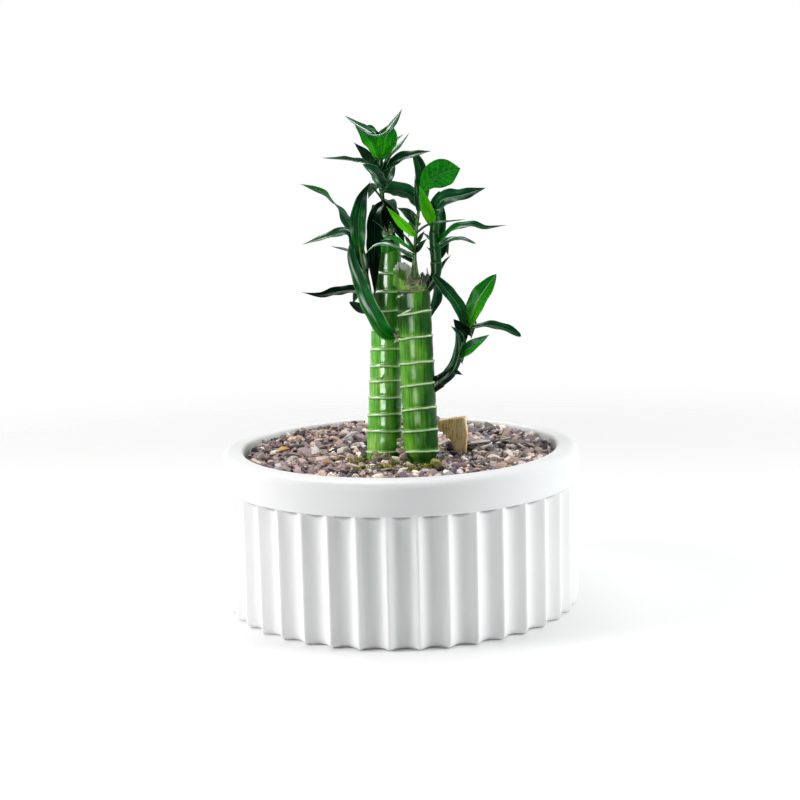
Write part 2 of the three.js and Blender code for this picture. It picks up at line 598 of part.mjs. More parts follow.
// Width of a blade at a share of its length, from its base through its widest place.
function bladeWidth(width, { widest, base, taper }, share) {
  if (share < widest) {
    return width * (base + (1 - base) * Math.sin((Math.PI / 2) * (share / widest)));
  }
  const narrowing = Math.cos((Math.PI / 2) * ((share - widest) / (1 - widest)));
  return Math.max(width * narrowing ** taper, TIP_WIDTH);
}

// One leaf: a thin blade folded along its midrib, with both faces split alike.
function blade({ path, width, face, outline, twist }) {
  const curve = new THREE.CatmullRomCurve3(toVectors(path));
  const wanted = Math.round(curve.getLength() / BLADE_STEP);
  const steps = THREE.MathUtils.clamp(wanted, FEWEST_BLADE_STEPS, MOST_BLADE_STEPS);
  const upper = new THREE.Vector3(...face).normalize();
  const rings = [];
  for (let i = 0; i <= steps; i += 1) {
    const share = i / steps;
    const centre = curve.getPointAt(share);
    const along = curve.getTangentAt(share);
    const turn = THREE.MathUtils.degToRad(twist * share);
    const side = along.clone().cross(upper).normalize().applyAxisAngle(along, turn);
    const normal = side.clone().cross(along);
    const half = bladeWidth(width, outline, share) / 2;
    const at = (across, lift) => centre.clone().addScaledVector(side, across).addScaledVector(normal, lift);
    const thick = BLADE_THICKNESS / 2;
    const edge = half * BLADE_FOLD;
    rings.push([
      at(-half, edge + thick), at(0, thick), at(half, edge + thick),
      at(half, edge - thick), at(0, -thick), at(-half, edge - thick),
    ]);
  }
  return loft(rings, { flipped: [3, 4] });
}

// A leafy shoot is its stem with every leaf rooted in it, seated against the canes.
function shoot(plan) {
  const body = wasm.Manifold.union([stalk(plan), ...plan.leaves.map(blade)]);
  return body.subtract(cane(TALL_CANE, GAP)).subtract(cane(CUT_CANE, GAP)).subtract(drySheath(GAP));
}

const bamboo = new THREE.Group();
bamboo.add(
  toMesh('pot', pot(), paint(0xf1f1ef, 0.35)),
  toMesh('soil', soil(), paint(0x3a2a1e, 0.95)),
  toMesh('gravel', gravel(), paint(0x9c8578, 0.85)),
  toMesh('wood_chip', woodChip(), paint(0xb8925a, 0.8)),
  toMesh('tall_cane', cane(TALL_CANE), paint(GREEN, 0.3)),
  toMesh('cut_cane', cane(CUT_CANE), paint(GREEN, 0.35)),
  toMesh('dry_sheath', drySheath(), paint(0x8f8b6a, 0.9)),
  toMesh('top_shoot', shoot(TOP_SHOOT), paint(LEAF_GREEN, 0.4)),
  toMesh('middle_shoot', shoot(MIDDLE_SHOOT), paint(LEAF_GREEN, 0.4)),
  toMesh('right_shoot', shoot(RIGHT_SHOOT), paint(LEAF_GREEN, 0.4)),
  toMesh('left_shoot', shoot(LEFT_SHOOT), paint(LEAF_GREEN, 0.4)),
  toMesh('lower_shoot', shoot(LOWER_SHOOT), paint(LEAF_GREEN, 0.4)),
);

export default bamboo;
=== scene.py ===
"""Looks of a lucky bamboo in a fluted ceramic pot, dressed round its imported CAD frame.

Lengths in the tables are millimetres, and MM turns them into metres. +Z is up, the photograph
looks along +Y with +X to the right, and the origin is the centre of the pot's foot.
"""

import collections
import math
import random

import bmesh
import bpy
import numpy as np
from mathutils import Euler, Matrix, Vector


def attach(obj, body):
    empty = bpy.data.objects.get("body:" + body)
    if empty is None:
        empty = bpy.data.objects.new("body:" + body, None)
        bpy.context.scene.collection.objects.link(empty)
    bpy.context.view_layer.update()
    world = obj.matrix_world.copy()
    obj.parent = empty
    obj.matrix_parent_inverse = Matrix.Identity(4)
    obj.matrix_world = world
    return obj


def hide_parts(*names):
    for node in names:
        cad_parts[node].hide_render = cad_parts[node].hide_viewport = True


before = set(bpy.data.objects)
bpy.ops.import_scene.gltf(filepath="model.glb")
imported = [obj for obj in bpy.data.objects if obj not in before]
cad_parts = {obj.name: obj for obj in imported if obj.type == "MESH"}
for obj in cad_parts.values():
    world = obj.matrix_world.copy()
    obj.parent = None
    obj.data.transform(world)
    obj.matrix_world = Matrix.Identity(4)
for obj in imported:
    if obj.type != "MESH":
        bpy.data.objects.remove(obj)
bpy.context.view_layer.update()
scene = bpy.context.scene

MM = 0.001

# Range of seeded phases, in radians.
PHASE_RANGE = 6.3

# Pot
POT_RADIUS = 90
POT_HEIGHT = 80
BAND_BOTTOM = 63.5
BAND_EDGE_ROUNDING = 1
LIP_ROUNDING = 4
LIP_INNER_RADIUS = 79
LIP_INNER_ROUNDING = 1.5
CAVITY_RADIUS = 77
CAVITY_CORNER = 4
FLOOR_THICKNESS = 8
FLUTE_COUNT = 40
FLUTE_DEPTH = 3.6
RIB_RADIUS = 89.6
RIB_ROUNDING = 0.12
COLUMNS_PER_FLUTE = 24
FLUTE_ROWS = (10, 20, 32, 44, 54, 60, 61, 61.8, 62.4, 62.9)
SILL_SHARES = (0.08, 0.3, 0.6, 0.85)
BAND_ROWS = (68, 72, 75)
LIP_ROWS = (84.5, 83, 81.5)
FOOT_HEIGHT = 3.5
FOOT_INSET = 3.2
RECESS_RADIUS = 74
RECESS_DEPTH = 1.5

# Gravel
SOIL_TOP = 58
GRAVEL_LEVEL = 73.5
GRAVEL_RIM_RISE = 2.4
GRAVEL_BACK_RISE = 3.4
GRAVEL_RADIUS = 78.4
BED_DEPTH = 2.0
BED_COLUMNS = 180

# Canes: a straight axis between two points, and leaf scars as (height, slant of its right side
# upwards, and the part of the way round that it covers, in degrees from +X).
Scar = collections.namedtuple("Scar", "height slant start end", defaults=(0, 0, 360))
CANE_FOOT = 26
TALL_CANE = {
    "low": (-8, 1, 73), "high": (-3.5, 4.5, 178), "radii": (8.7, 6.6),
    "scars": [Scar(77, 0.2), Scar(87.5, -0.2), Scar(96, 0.1), Scar(104.5, -0.1), Scar(113, 0.1),
              Scar(120.5, -0.2), Scar(129, 0.1), Scar(138.5), Scar(148, 0.2), Scar(157.5, -0.2),
              Scar(166.5, 0.1), Scar(115.6, -0.3, 228, 262)],
    "waist": 0,
}
CUT_CANE = {
    "low": (10.9, -12.5, 73), "high": (8.5, -12.5, 160), "radii": (8.5, 7.9),
    "scars": [Scar(79.5, 0.4), Scar(90, 0.6), Scar(101, 0.7), Scar(113, 1.1), Scar(124, 0.8),
              Scar(136.5, 0.8), Scar(148.5, 1.4), Scar(150.6, 3.4, 205, 262),
              Scar(158.6, 2.2, 165, 236)],
    "waist": 1.5,
}

# Leaves
BLADE_FOLD = 0.34
LEAF_ROW = 0.5
LEAF_ROWS = (24, 96)
TIP_WIDTH = 0.25
STEM_ROW = 0.7
STEM_SIDES = 14

# Leaf outlines: where the blade is widest, its share of that width at the base, and how
# sharply it narrows to the tip.
Outline = collections.namedtuple("Outline", "widest base taper")
LANCE = Outline(0.42, 0.4, 1.15)
OVATE = Outline(0.48, 0.25, 0.7)
STRAP = Outline(0.3, 0.75, 0.9)
SLIVER = Outline(0.3, 0.6, 1.2)
WEDGE = Outline(0.3, 0.7, 0.9)
SPOON = Outline(0.54, 0.34, 0.78)
DOME = Outline(0.66, 0.4, 0.4)

# Leaf looks: how light the upper and lower sides are, from dark teal at 0 to yellow green at 1,
# the strength of the painted grey sheen, which stands for reflected light, the midrib, the pale
# edge, which is a painted rim highlight, and the long and side veins, and how much lighter the
# tip is, and one half than the other.
Look = collections.namedtuple("Look", "upper lower sheen rib edge veins branching tip split",
                              defaults=(0, 0))
# Near-black leaves stand for deep shadow, as painted shade; some only fill dark gaps between parts.
IN_SHADOW = Look(0.01, 0.05, 0.02, 0.10, 0.10, 0.60, 0)
DARK = Look(0.12, 0.20, 0.70, 0.25, 0.45, 1.00, 0)
TEAL = Look(0.14, 0.22, 1.30, 0.30, 0.60, 1.00, 0)
EDGED = Look(0.15, 0.24, 1.00, 0.45, 1.30, 1.00, 0)
RIBBED = Look(0.12, 0.24, 2.20, 1.00, 0.80, 1.00, 0)
VEINED = Look(0.17, 0.24, 1.20, 0.80, 0.70, 1.20, 0)
PALE = Look(0.24, 0.32, 2.20, 0.40, 0.80, 0.80, 0)
# The next look is mostly painted sheen: grey-white reflected light on the upper side.
GREY_SHEEN = Look(0.28, 0.36, 5.50, 0.30, 1.60, 0.80, 0)
OLIVE = Look(0.36, 0.46, 0.40, 0.50, 0.50, 0.90, 0)
TURNED = Look(0.16, 0.33, 2.00, 0.50, 0.30, 0.90, 0)
STRAPPED = Look(0.46, 0.50, 3.00, 0.25, 1.00, 1.00, 0, -0.24, -0.08)
FRESH = Look(0.30, 0.38, 0.15, 0.25, 0.40, 1.10, 0, -0.28)
LIVELY = Look(0.50, 0.56, 0.50, 0.60, 0.50, 0.90, 0, -0.1, 0.08)
# The next look's wide white midrib is a painted highlight.
RIB_HIGHLIGHT = Look(0.72, 0.76, 0.15, 1.70, 0.30, 0.80, 0, -0.22, 0.07)
BRIGHT = Look(0.88, 0.90, 0.00, 0.45, 0.25, 0.70, 0)
YOUNG = Look(0.62, 0.68, 0.05, 0.25, 0.30, 0.80, 0, -0.28, 0.05)
BROAD = Look(0.47, 0.50, 0.00, 0.25, 0.10, 0.70, 0.5)
FOLDED = Look(0.48, 0.60, 2.40, 0.80, 0.80, 0.80, 0, 0, 0.16)

# A leaf's path runs from its root on the stem to its tip, and its face is the way that its upper
# side looks. Its twist is in degrees from root to tip, and its fold is the slope of each half.
Leaf = collections.namedtuple("Leaf", "look path width face outline twist fold",
                              defaults=(LANCE, 0, BLADE_FOLD))

# Shoots: a stem's path, its radii at equal shares of its length, and its skin: tone at its foot and
# at its top, the pale stripe along its front, partly a painted highlight, and how dull it is. Then its
# leaves.
TOP_SHOOT = {
    "stem": [[-3.3, 4.5, 177.4], [-3.5, 5, 189], [-4.5, 4, 198], [-5.5, 4, 204.5], [-6, 4, 211.5],
             [-6.5, 3, 224]],
    "radii": [6.5, 6.0, 4.2, 1.4, 1.0, 1.0, 1.0, 1.05, 1.1, 1.1, 1.5, 2.0, 1.2],
    "skin": (0.50, 0.50, 0.9, 0.85),
    "leaves": [
        Leaf(YOUNG, [[-6.4, 2.5, 222.5], [-9.6, -2, 230], [-13, -4, 235], [-18, -5, 239.8]],
             9, [0.3, 0.9, 0.3], Outline(0.5, 0.3, 1.1)),
        Leaf(YOUNG, [[-5.6, 2.5, 223], [-3.8, -2, 231], [-2, -3, 235.5], [1.2, -3.5, 240.5]],
             8, [-0.35, 0.9, 0.25], OVATE),
        Leaf(GREY_SHEEN, [[-6.5, 3.5, 226], [-7.5, 2, 235], [-12, -5, 237.4], [-17.2, -6.5, 240.5],
             [-22.6, -6.5, 244.4]],
             4.2, [0.3, -0.75, 0.6], Outline(0.6, 0.5, 0.9)),
        Leaf(GREY_SHEEN, [[-5.5, 3.5, 226], [-5.5, 2, 235], [-1.8, -4.5, 237], [1.7, -5, 241],
             [5.2, -4, 246.9]],
             4, [-0.3, -0.8, 0.5], Outline(0.6, 0.5, 0.9)),
        Leaf(GREY_SHEEN, [[-17.4, -5.6, 238.6], [-12, -5.9, 235.4], [-8.5, -5.6, 234.4], [-5.2, -5.9, 234.8],
             [-0.9, -5.6, 237.6]],
             1.3, [0, -0.95, 0.3], Outline(0.5, 0.6, 0.5)),
        Leaf(LIVELY, [[-5.4, 4, 222.5], [-1.6, 5, 230], [-0.8, 8, 238.3]], 8.5, [-0.2, -0.85, 0.45],
             DOME),
        Leaf(OLIVE, [[-6.7, 3.7, 221], [-9.5, 9, 232], [-11.5, 11, 240]], 7.5, [0.2, -0.8, 0.6],
             DOME),
        Leaf(DARK, [[-6.5, 4, 218], [-14, 9, 226], [-19, 11, 231.5]], 6.5, [0.3, -0.8, 0.5]),
        Leaf(DARK, [[-6.5, 4, 217], [-9, 7, 222], [-12, 10, 227.5]], 4.5, [0.3, -0.8, 0.5]),
        Leaf(EDGED, [[-6.5, 3, 218], [-15, -3, 222], [-23, -6, 223.5], [-34, -8, 224.5]],
             6, [0, -0.4, 0.92]),
        Leaf(RIBBED, [[-6, 4, 209.5], [-9.4, -6, 216.5], [-14.6, -12, 221]], 10, [0.2, -0.85, 0.45],
             STRAP),
        Leaf(DARK, [[-6.2, 3, 222], [-8.6, 0, 218], [-10, -2, 213]], 6, [0, -0.9, 0.3], STRAP),
        Leaf(GREY_SHEEN, [[-6, 4, 215], [-0.5, 2, 225], [4.5, 0, 230], [8.5, -1, 235.5]],
             4.6, [-0.6, -0.5, 0.6]),
        Leaf(EDGED, [[-6, 3, 217], [2.5, 0, 222.5], [10.5, -2, 225], [19, -2, 226.5]],
             7.5, [0, -0.65, 0.76]),
        Leaf(PALE, [[-6.5, 4, 222], [1, 14, 231.5], [6, 18, 235]], 4, [-0.2, -0.6, 0.7]),
        Leaf(DARK, [[-5.5, 4, 208], [-2, 12, 216], [1.5, 18, 222.5]], 7, [0.1, -0.7, 0.7]),
        Leaf(DARK, [[-4.8, 4, 206.5], [1, 8, 207.6], [7, 12, 205.5], [11.5, 14, 201.5], [14.5, 15, 196.5]],
             10.5, [0.2, -0.75, 0.6], Outline(0.35, 0.75, 0.5)),
        Leaf(IN_SHADOW, [[-4.8, 3.5, 200], [-4, -1.5, 195], [-3.2, -2, 187.5]], 4.5, [0, -0.95, 0.2]),
        Leaf(PALE, [[-5, 4, 202], [-9, -2, 208], [-12, -5, 211]], 3, [0.3, -0.6, 0.7], SLIVER),
        Leaf(IN_SHADOW, [[-5, 4, 201.5], [-8.8, -3, 197], [-9.8, -6, 184], [-10.2, -7.5, 168],
             [-10.4, -8.5, 156]], 8.4, [-0.3, -0.9, 0.2]),
        Leaf(TEAL, [[-5, 4, 202.5], [-1, -8, 202], [1.5, -14, 197]], 6, [0.2, -0.5, 0.8]),
        Leaf(PALE, [[-3.5, 4, 187], [-4.3, -3, 187.8], [-6.5, -8, 190.5], [-10.4, -10, 194]], 1.6,
             [0.2, -0.7, 0.5], SLIVER),
        Leaf(IN_SHADOW, [[-4.5, 4.5, 200], [-6.5, 13, 196], [-4.5, 16, 181]], 10, [0, 0.5, 0.8]),
        Leaf(IN_SHADOW, [[-4.5, 4, 201.5], [-1, -1, 196], [3.7, -3, 185]], 6.5, [0.3, -0.9, 0.3]),
        Leaf(FRESH, [[-3.7, 4, 190], [1.5, 0, 188], [5, -2, 182]], 5, [0.1, -0.8, 0.5]),
        Leaf(IN_SHADOW, [[-3.8, 4.5, 190], [3, 9, 191], [9, 12, 184]], 7, [0, 0.4, 0.9]),
        Leaf(DARK, [[-5, 4.5, 200], [-8, 18, 198], [-10, 31, 189]], 7, [0, 0.4, 0.9]),
        Leaf(DARK, [[-4.5, 4.5, 197], [-1, 18, 196], [3, 30, 187]], 7, [0, 0.4, 0.9]),
        Leaf(FRESH, [[-3.3, 1.5, 180], [-6.5, -1.5, 184], [-7.5, -1, 188]], 3.5, [-0.3, -0.8, 0.5]),
        Leaf(FRESH, [[-3, 1.5, 180], [-0.5, -1, 184], [-0.2, 0, 188]], 3, [0.3, -0.8, 0.5]),
        Leaf(DARK, [[-6, 4, 209], [-9, 16, 210], [-13, 29, 203]], 6.5, [0, 0.4, 0.9]),
        Leaf(DARK, [[-6.5, 4, 220], [-8, 15, 223], [-11, 26, 217]], 6, [0, 0.4, 0.9]),
    ],
}

MIDDLE_SHOOT = {
    "stem": [[9.3, -15, 160.4], [9.4, -17, 167], [9.5, -20, 175], [10.5, -17, 187.5],
             [12, -12, 197.5], [13.5, -8, 207]],
    "radii": [2.0, 2.5, 1.8, 1.0, 0.9, 0.9, 0.9, 0.9, 0.8, 0.8, 0.7],
    "skin": (0.30, 0.22, 0.3, 0.8),
    "leaves": [
        Leaf(BRIGHT, [[10, -18, 186], [5, -23, 191], [0.5, -26, 196], [-3.5, -27, 201]],
             5, [-0.2, -0.85, 0.5]),
        Leaf(DARK, [[11.3, -15, 190], [7, -10, 196.5], [1.5, -6, 199.5]], 6, [0.1, -0.7, 0.7]),
        Leaf(PALE, [[11.3, -14.5, 191], [9.5, -12, 195], [8, -9, 198]], 2.5, [0.1, -0.7, 0.7], SLIVER),
        Leaf(TEAL, [[12, -12, 197], [11, -14, 205.5], [10.5, -14, 214.5]], 2.5, [0, -0.9, 0.3], SLIVER),
        Leaf(TEAL, [[10.5, -17, 187], [16, -24, 191.5], [23.5, -28, 193], [34, -29, 194]],
             3.5, [0, -0.2, 0.98]),
        Leaf(LIVELY, [[9.5, -19.5, 178], [3.5, -24, 183], [-1, -25, 185.5], [-6.5, -24, 184.5]],
             5, [0, -0.5, 0.87]),
        Leaf(GREY_SHEEN, [[9.5, -20, 176], [2, -25, 180.5], [-5, -28, 183], [-9.5, -29, 182.5],
             [-13.5, -29, 179.5]],
             5, [0, -0.35, 0.93]),
        Leaf(DARK, [[9.5, -19.5, 175.5], [5.5, -14, 177.5], [2, -11, 179]], 4, [0, -0.6, 0.8]),
        Leaf(DARK, [[9.5, -19, 173], [5, -15, 175.5], [1.5, -12, 176.5]], 3.5, [0, -0.6, 0.8]),
        Leaf(PALE, [[9.5, -18.5, 178.5], [6.5, -14, 183.5], [4, -10, 187.5]], 3, [0.5, -0.7, 0.5],
             SLIVER),
        Leaf(DARK, [[9.7, -19.5, 178], [12.5, -23, 181.5], [15.5, -25, 185]], 4, [-0.6, -0.7, 0.4]),
        Leaf(DARK, [[10, -18.5, 182], [12.5, -20, 185], [14.5, -21, 188.5]], 3.5, [-0.6, -0.7, 0.4]),
        Leaf(OLIVE._replace(upper=0.26, sheen=0.1), [[12.9, -9.5, 200], [14.4, -2, 209.5], [13.8, 3, 217.5],
             [11.2, 6, 225]], 7.5, [0, -0.8, 0.6], Outline(0.3, 0.75, 0.3)),
        Leaf(BROAD, [[14.2, -8.5, 207], [17.4, -7.5, 211.5], [21.9, -6, 214.6], [27, -4, 216.4],
             [33.2, -2, 217.6]],
             15.6, [-0.2, -0.93, 0.3], Outline(0.56, 0.1, 0.95), fold=0.2),
        Leaf(DARK, [[11, -15.5, 190], [10, -3, 191], [7, 9, 184]], 6, [0, 0.4, 0.9]),
    ],
}

RIGHT_SHOOT = {
    "stem": [[15, -13, 159], [19.5, -13, 166], [20, -12, 174.5], [19.5, -12, 181], [19.5, -12, 189.5],
             [21, -11, 199]],
    "radii": [2.2, 2.7, 2.8, 2.6, 2.2, 1.2],
    "skin": (0.14, 0.38, 0.12, 0),
    "leaves": [
        Leaf(BRIGHT, [[19, -12, 190], [15.5, -19, 201], [12.5, -22, 210.5]], 6.5, [-0.2, -0.9, 0.35]),
        Leaf(VEINED, [[20.2, -11.3, 198.5], [24.5, -13, 203.2], [33, -12, 204.8], [45, -8, 208]],
             9, [0, -0.75, 0.65], Outline(0.3, 0.8, 0.9)),
        Leaf(DARK, [[20.6, -10.5, 196.5], [21.4, -7, 202], [22.5, -5, 207]], 7.5, [0.1, -0.9, 0.3], STRAP),
        Leaf(TEAL, [[20, -11.5, 182.5], [23, -5, 192], [24.4, -1, 201]], 6.5, [0.5, -0.8, 0.3]),
        Leaf(OLIVE._replace(tip=-0.25), [[20, -12, 181], [28.5, -18, 189], [37, -21, 191],
             [44, -23, 189.5], [53.5, -24, 190.5]],
             5.5, [0, -0.6, 0.8]),
        Leaf(PALE, [[20, -12, 179], [29, -2, 183], [34, 3, 182.5], [40.5, 7, 180]],
             4.5, [0, -0.5, 0.86], DOME),
        Leaf(DARK, [[20, -11.5, 173], [23.6, -4, 178], [26.6, 1, 181.5]], 5, [0, -0.8, 0.5]),
        Leaf(DARK, [[20.5, -12, 167], [24.5, -8, 172.5], [27.5, -6, 175.5]], 3, [-0.5, -0.7, 0.5],
             SLIVER),
        Leaf(DARK, [[19, -12.5, 176], [17.5, -15.5, 178.5], [15.5, -17.5, 180.5]],
             2.5, [0.5, -0.7, 0.5], SLIVER),
        Leaf(DARK, [[19.5, -11.5, 182], [16.5, -6, 184.5], [14, -2, 187]], 3.5, [0.5, -0.7, 0.5],
             SLIVER),
        Leaf(DARK, [[18.5, -12, 163.5], [20, -5, 156], [17.4, -1, 144.5]], 7, [0.4, -0.8, 0.3]),
        Leaf(DARK, [[20, -12, 184], [24, 2, 182], [27, 14, 174]], 6, [0, 0.4, 0.9]),
        Leaf(DARK, [[20.3, -11.5, 195], [22, 1, 199], [23, 13, 194]], 6.5, [0, 0.4, 0.9]),
    ],
}

LEFT_SHOOT = {
    "stem": [[-2, 0, 134], [-1.5, -8, 137.5], [-5.5, -12.5, 142.5], [-11.6, -14, 153.5],
             [-14.2, -14.5, 164.5], [-16.5, -14, 175.5], [-18, -12.5, 186]],
    "radii": [2, 2.1, 1.6, 1.2, 1.1, 1, 0.9],
    "skin": (0.40, 0.60, 0.4, 0.85),
    "leaves": [
        Leaf(TURNED, [[-17.6, -12.5, 182.5], [-23, -8, 194], [-30, -5, 203.5], [-35.5, -3, 208.2],
             [-45.5, -2, 212]],
             9, [0.05, -0.95, 0.3], twist=145, fold=0.12),
        Leaf(EDGED._replace(sheen=2.4, edge=0.8, tip=0.1),
             [[-15.4, -13.5, 170], [-19.4, -13.5, 183], [-23.5, -15, 188.5], [-30, -17, 187.5],
             [-44.5, -20, 183.5]],
             7.2, [0, -0.6, 0.8], Outline(0.36, 0.7, 1.0)),
        Leaf(STRAPPED, [[-1, -9, 136.5], [-5.5, -14, 139.5], [-9.8, -16, 147], [-13.7, -17, 155],
             [-16.5, -17.5, 162.8], [-19.4, -17, 171.5], [-21, -16, 178], [-20.5, -10, 185]],
             9.2, [-0.3, -0.9, 0.2], Outline(0.24, 0.75, 0.62), fold=0.5),
        Leaf(IN_SHADOW, [[-13, -9.5, 178], [-16, -7, 167], [-13.5, -8, 154], [-9, -9, 143]], 7,
             [-0.2, -0.9, 0.2]),
        Leaf(FRESH, [[-16.6, -13, 177], [-17.6, -14.5, 190], [-16.5, -15, 199.5], [-14.5, -11, 206.5],
             [-11, -7, 212.5]],
             8.5, [-0.1, -0.95, 0.3]),
        Leaf(DARK, [[-16.4, -13.5, 176.5], [-23.5, -5, 179], [-31.5, 0, 181]], 4.5, [0, -0.1, 0.99]),
        Leaf(IN_SHADOW, [[-12.8, -13.5, 158], [-21.5, -7, 159.5], [-30, -3, 158.5], [-38, -2, 157],
             [-46.5, -2, 158.5]],
             6, [0.1, -0.75, 0.65]),
        Leaf(DARK, [[-9.8, -13, 149], [-17, -9, 150.3], [-23.2, -6, 153.6]], 5.6, [0, -0.85, 0.5], OVATE),
        Leaf(DARK, [[-16.4, -13, 175], [-19.5, 0, 177], [-23, 13, 169]], 6, [0, 0.4, 0.9]),
        Leaf(DARK, [[-13.4, -13.5, 160], [-18, -1, 159], [-22, 9, 151]], 6, [0, 0.4, 0.9]),
    ],
}

LOWER_SHOOT = {
    "stem": [[15, -12, 109.5], [21, -12, 114], [25, -12, 117], [29, -11, 123.5], [31.5, -11, 130.5],
             [33.5, -10, 136], [35.5, -10, 142]],
    "radii": [3.4, 3.4, 3, 2.5, 2, 1.7, 1.2],
    "skin": (0.06, 0.24, 0.8, 0),
    "leaves": [
        Leaf(RIB_HIGHLIGHT, [[35, -10, 139.5], [39.5, -14, 152.5], [44.5, -14, 160], [49.5, -11, 166]],
             10, [-0.3, -0.9, 0.3], SPOON),
        Leaf(OLIVE._replace(upper=0.28, tip=-0.1), [[34.8, -10, 140], [30.5, -14, 151], [24.5, -17, 159.5],
             [18, -17.5, 167]],
             6.8, [0.2, -0.9, 0.35], Outline(0.5, 0.85, 0.4)),
        Leaf(TEAL, [[35, -10, 139.5], [45, -16, 141.5], [53, -19, 140], [60.5, -20, 136]],
             6, [0.1, -0.6, 0.8], DOME),
        Leaf(IN_SHADOW, [[34.5, -11.5, 136.5], [31.5, -16, 140.5], [27.8, -19, 145.2]],
             7, [-0.2, -0.9, 0.3], WEDGE),
        Leaf(TEAL, [[32, -11, 131], [30.5, -16, 137], [26.5, -19, 142]], 4, [0, -0.8, 0.6]),
        Leaf(FOLDED, [[30, -11.5, 126], [36.4, -16, 131], [45, -19, 137]], 7, [0.2, -0.8, 0.6], WEDGE),
        Leaf(EDGED, [[20.5, -12.5, 113], [27, -15, 122], [29.5, -15, 131], [29, -14, 139.5]],
             4.2, [-0.4, -0.85, 0.2], STRAP),
        Leaf(PALE, [[26.5, -12, 119], [32, -15, 117]], 3, [0, -0.8, 0.5], SLIVER),
        Leaf(DARK, [[34.5, -10, 139], [37, 4, 140], [38, 16, 131]], 7, [0, 0.4, 0.9]),
        Leaf(DARK, [[31, -11, 128], [32, 3, 127], [33, 15, 118]], 6, [0, 0.4, 0.9]),
    ],
}


class Paint:
    """A Principled material whose nodes are made by short calls."""

    def __init__(self, name, **fixed):
        self.material = bpy.data.materials.new(name)
        self.material.use_nodes = True
        self.tree = self.material.node_tree
        self.shader = self.tree.nodes["Principled BSDF"]
        for socket, value in fixed.items():
            self.shader.inputs[socket.replace("_", " ")].default_value = value

    def feed(self, socket, value):
        if isinstance(value, bpy.types.NodeSocket):
            self.tree.links.new(value, socket)
        else:
            socket.default_value = value

    def node(self, kind, inputs, **settings):
        made = self.tree.nodes.new("ShaderNode" + kind)
        for key, value in settings.items():
            setattr(made, key, value)
        for key, value in inputs.items():
            self.feed(made.inputs[key], value)
        return made

    def attribute(self, name):
        """The three named values of a point."""
        read = self.node("Attribute", {}, attribute_name=name)
        parts = self.node("SeparateXYZ", {0: read.outputs["Vector"]})
        return parts.outputs

    def math(self, operation, first, second=0.0):
        return self.node("Math", {0: first, 1: second}, operation=operation).outputs[0]

    def add(self, first, second):
        return self.math("ADD", first, second)

    def times(self, first, second):
        return self.math("MULTIPLY", first, second)

    def mix(self, share, first, second, blend="MIX"):
        made = self.node("Mix", {0: share, 6: first, 7: second}, data_type="RGBA", blend_type=blend)
        return made.outputs[2]

    def step(self, value, low, high):
        """Smooth step from 0 at low to 1 at high."""
        made = self.node("MapRange", {0: value, 1: low, 2: high}, interpolation_type="SMOOTHSTEP")
        return made.outputs[0]

    def span(self, value, low, high):
        """Value from 0 to 1, spread from low to high."""
        return self.node("MapRange", {0: value, 3: low, 4: high}).outputs[0]

    def noise(self, scale, detail=2.0, stretch=(1, 1, 1), roughness=0.5):
        """Noise from 0 to 1 over the object, with its scale in cycles a metre."""
        place = self.node("TexCoord", {}).outputs["Object"]
        spread = self.node("Mapping", {0: place, 3: stretch}).outputs[0]
        inputs = {"Vector": spread, "Scale": scale, "Detail": detail, "Roughness": roughness}
        return self.node("TexNoise", inputs).outputs[0]

    def streaks(self, *place):
        """Noise from 0 to 1 over a place that is given as values."""
        spread = self.node("CombineXYZ", dict(enumerate(place))).outputs[0]
        return self.node("TexNoise", {"Vector": spread, "Scale": 1.0, "Detail": 1.0}).outputs[0]

    def ramp(self, value, stops, interpolation="LINEAR"):
        made = self.node("ValToRGB", {0: value})
        ramp = made.color_ramp
        ramp.interpolation = interpolation
        for k, (position, colour) in enumerate(stops):
            element = ramp.elements[k] if k < 2 else ramp.elements.new(position)
            element.position = position
            element.color = (*colour, 1)
        return made.outputs[0]

    def bump(self, height, distance):
        """Bump whose height of 1 is that many metres."""
        made = self.node("Bump", {"Height": height, "Distance": distance, "Strength": 1.0})
        self.feed(self.shader.inputs["Normal"], made.outputs[0])

    def colour(self, value):
        self.feed(self.shader.inputs["Base Color"], value)

    def rough(self, value):
        self.feed(self.shader.inputs["Roughness"], value)


